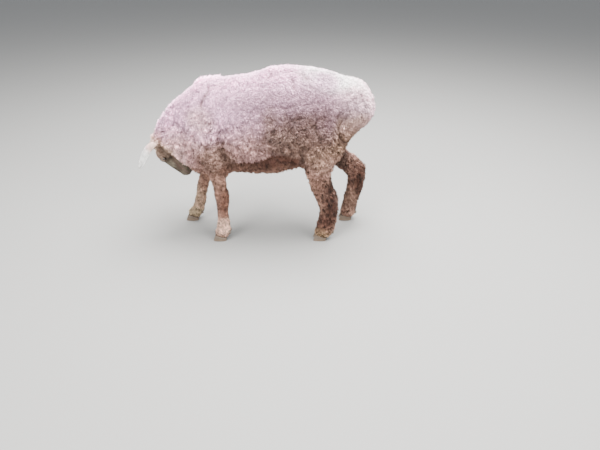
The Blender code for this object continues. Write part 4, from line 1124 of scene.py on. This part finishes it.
def coat_material(name, shaded_root_value, tip_value, spread, roughness):
    """Wool or hair: the skin's markings, darkened towards the root as painted shade, and each lock a little
    lighter or darker. Tones past 0 and 1 count in full."""
    material = bpy.data.materials.new(name)
    tree, shader = new_tree(material, "Principled BSDF")
    depth = ranged(tree, attribute(tree, "along"), 0, 1, shaded_root_value, tip_value)
    each = ranged(tree, attribute(tree, "shade"), 0, 1, 1 - spread, 1 + spread, clamp=False)
    colour = brightened(tree, marked(tree, own_place(tree)), times(tree, depth, each))
    wired(tree, shader, {"Base Color": colour, "Roughness": roughness, "Specular IOR Level": 0.25})
    return material


# Brightness at a lock's root, darkened as painted shade, and at its tip, how far locks differ, and
# roughness.
wool = coat_material("shorn_wool", 0.62, 1.03, 0.38, 0.9)
leg_hair = coat_material("leg_hair", 0.50, 1.05, 0.58, 0.75)
face_hair = coat_material("face_hair", 0.66, 1.02, 0.30, 0.7)
white_hair = coat_material("white_hair", 0.85, 1.02, 0.05, 0.7)

middles = skin_points[skin_triangles].mean(axis=1)
facing = unit(face_normals(skin_points, skin_triangles))
kind = np.stack([kinds[name] for name in COAT], axis=1)[skin_triangles].mean(axis=1).argmax(axis=1)
is_kind = {name: kind == index for index, name in enumerate(COAT)}
left_side = middles[:, 1] < 0
UPWARD, DOWNWARD = 0.62, -0.45  # the height of the normal from which a face is of the back or belly
upward, downward = facing[:, 2] > UPWARD, facing[:, 2] < DOWNWARD
flank = is_kind["wool"] & ~upward & ~downward

# Each piece of wool, with the middle and the axis around which its map is unwrapped.
BARREL = ((0.0, 0.0, 0.52), (1, 0, 0))
wool_parts = {
    "wool_neck": (is_kind["neck"], BARREL),
    "wool_back": (is_kind["wool"] & upward, BARREL),
    "wool_belly": (is_kind["wool"] & downward, BARREL),
    "wool_flank_left": (flank & left_side, BARREL),
    "wool_flank_right": (flank & ~left_side, BARREL),
    "wool_rump": (is_kind["rump"], BARREL),
    "wool_thigh_left": (is_kind["thigh"] & left_side, ((0.30, -0.10, 0.5), (0, 0, 1))),
    "wool_thigh_right": (is_kind["thigh"] & ~left_side, ((0.33, 0.10, 0.5), (0, 0, 1))),
}
for seed, (name, (chosen, (centre, line))) in enumerate(wool_parts.items()):
    grow(name, skin_triangles[chosen], 100 + 10 * seed, wool, centre, line, curl=0.5,
         clump_size=0.024)

shanks = is_kind["fore_shank"] | is_kind["hind_shank"]
# Where a line down each leg stands, for its share of the hair and for its map.
LEG_LINES = {"fore_left": (-0.17, -0.10), "fore_right": (-0.32, 0.09), "hind_left": (0.32, -0.10),
             "hind_right": (0.46, 0.09)}
leg_of = np.stack([(middles[:, 0] - x) ** 2 + (middles[:, 1] - y) ** 2
                   for x, y in LEG_LINES.values()], axis=1).argmin(axis=1)
for seed, (foot, (x, y)) in enumerate(LEG_LINES.items()):
    grow("hair_leg_" + foot, skin_triangles[shanks & (leg_of == seed)], 300 + 10 * seed, leg_hair,
         (x, y, 0.2), (0, 0, 1), curl=0.2, clump_size=0.014)

grow("wool_poll", skin_triangles[is_kind["poll"]], 400, face_hair, POLL, head_u, curl=0.4,
     clump_size=0.015)
grow("hair_face", skin_triangles[is_kind["face"]], 410, face_hair, POLL, head_u, curl=0.1,
     bent=False)
for seed, (name, chosen) in enumerate((("hair_ear_left", left_side), ("hair_ear_right", ~left_side))):
    ear_roots = skin_triangles[is_kind["ear"] & chosen]
    grow(name, ear_roots, 420 + 10 * seed, white_hair, skin_points[ear_roots].mean(axis=(0, 1)),
         ear_way(skin_points[ear_roots[:1, 0]])[0], curl=0.1, bent=False)
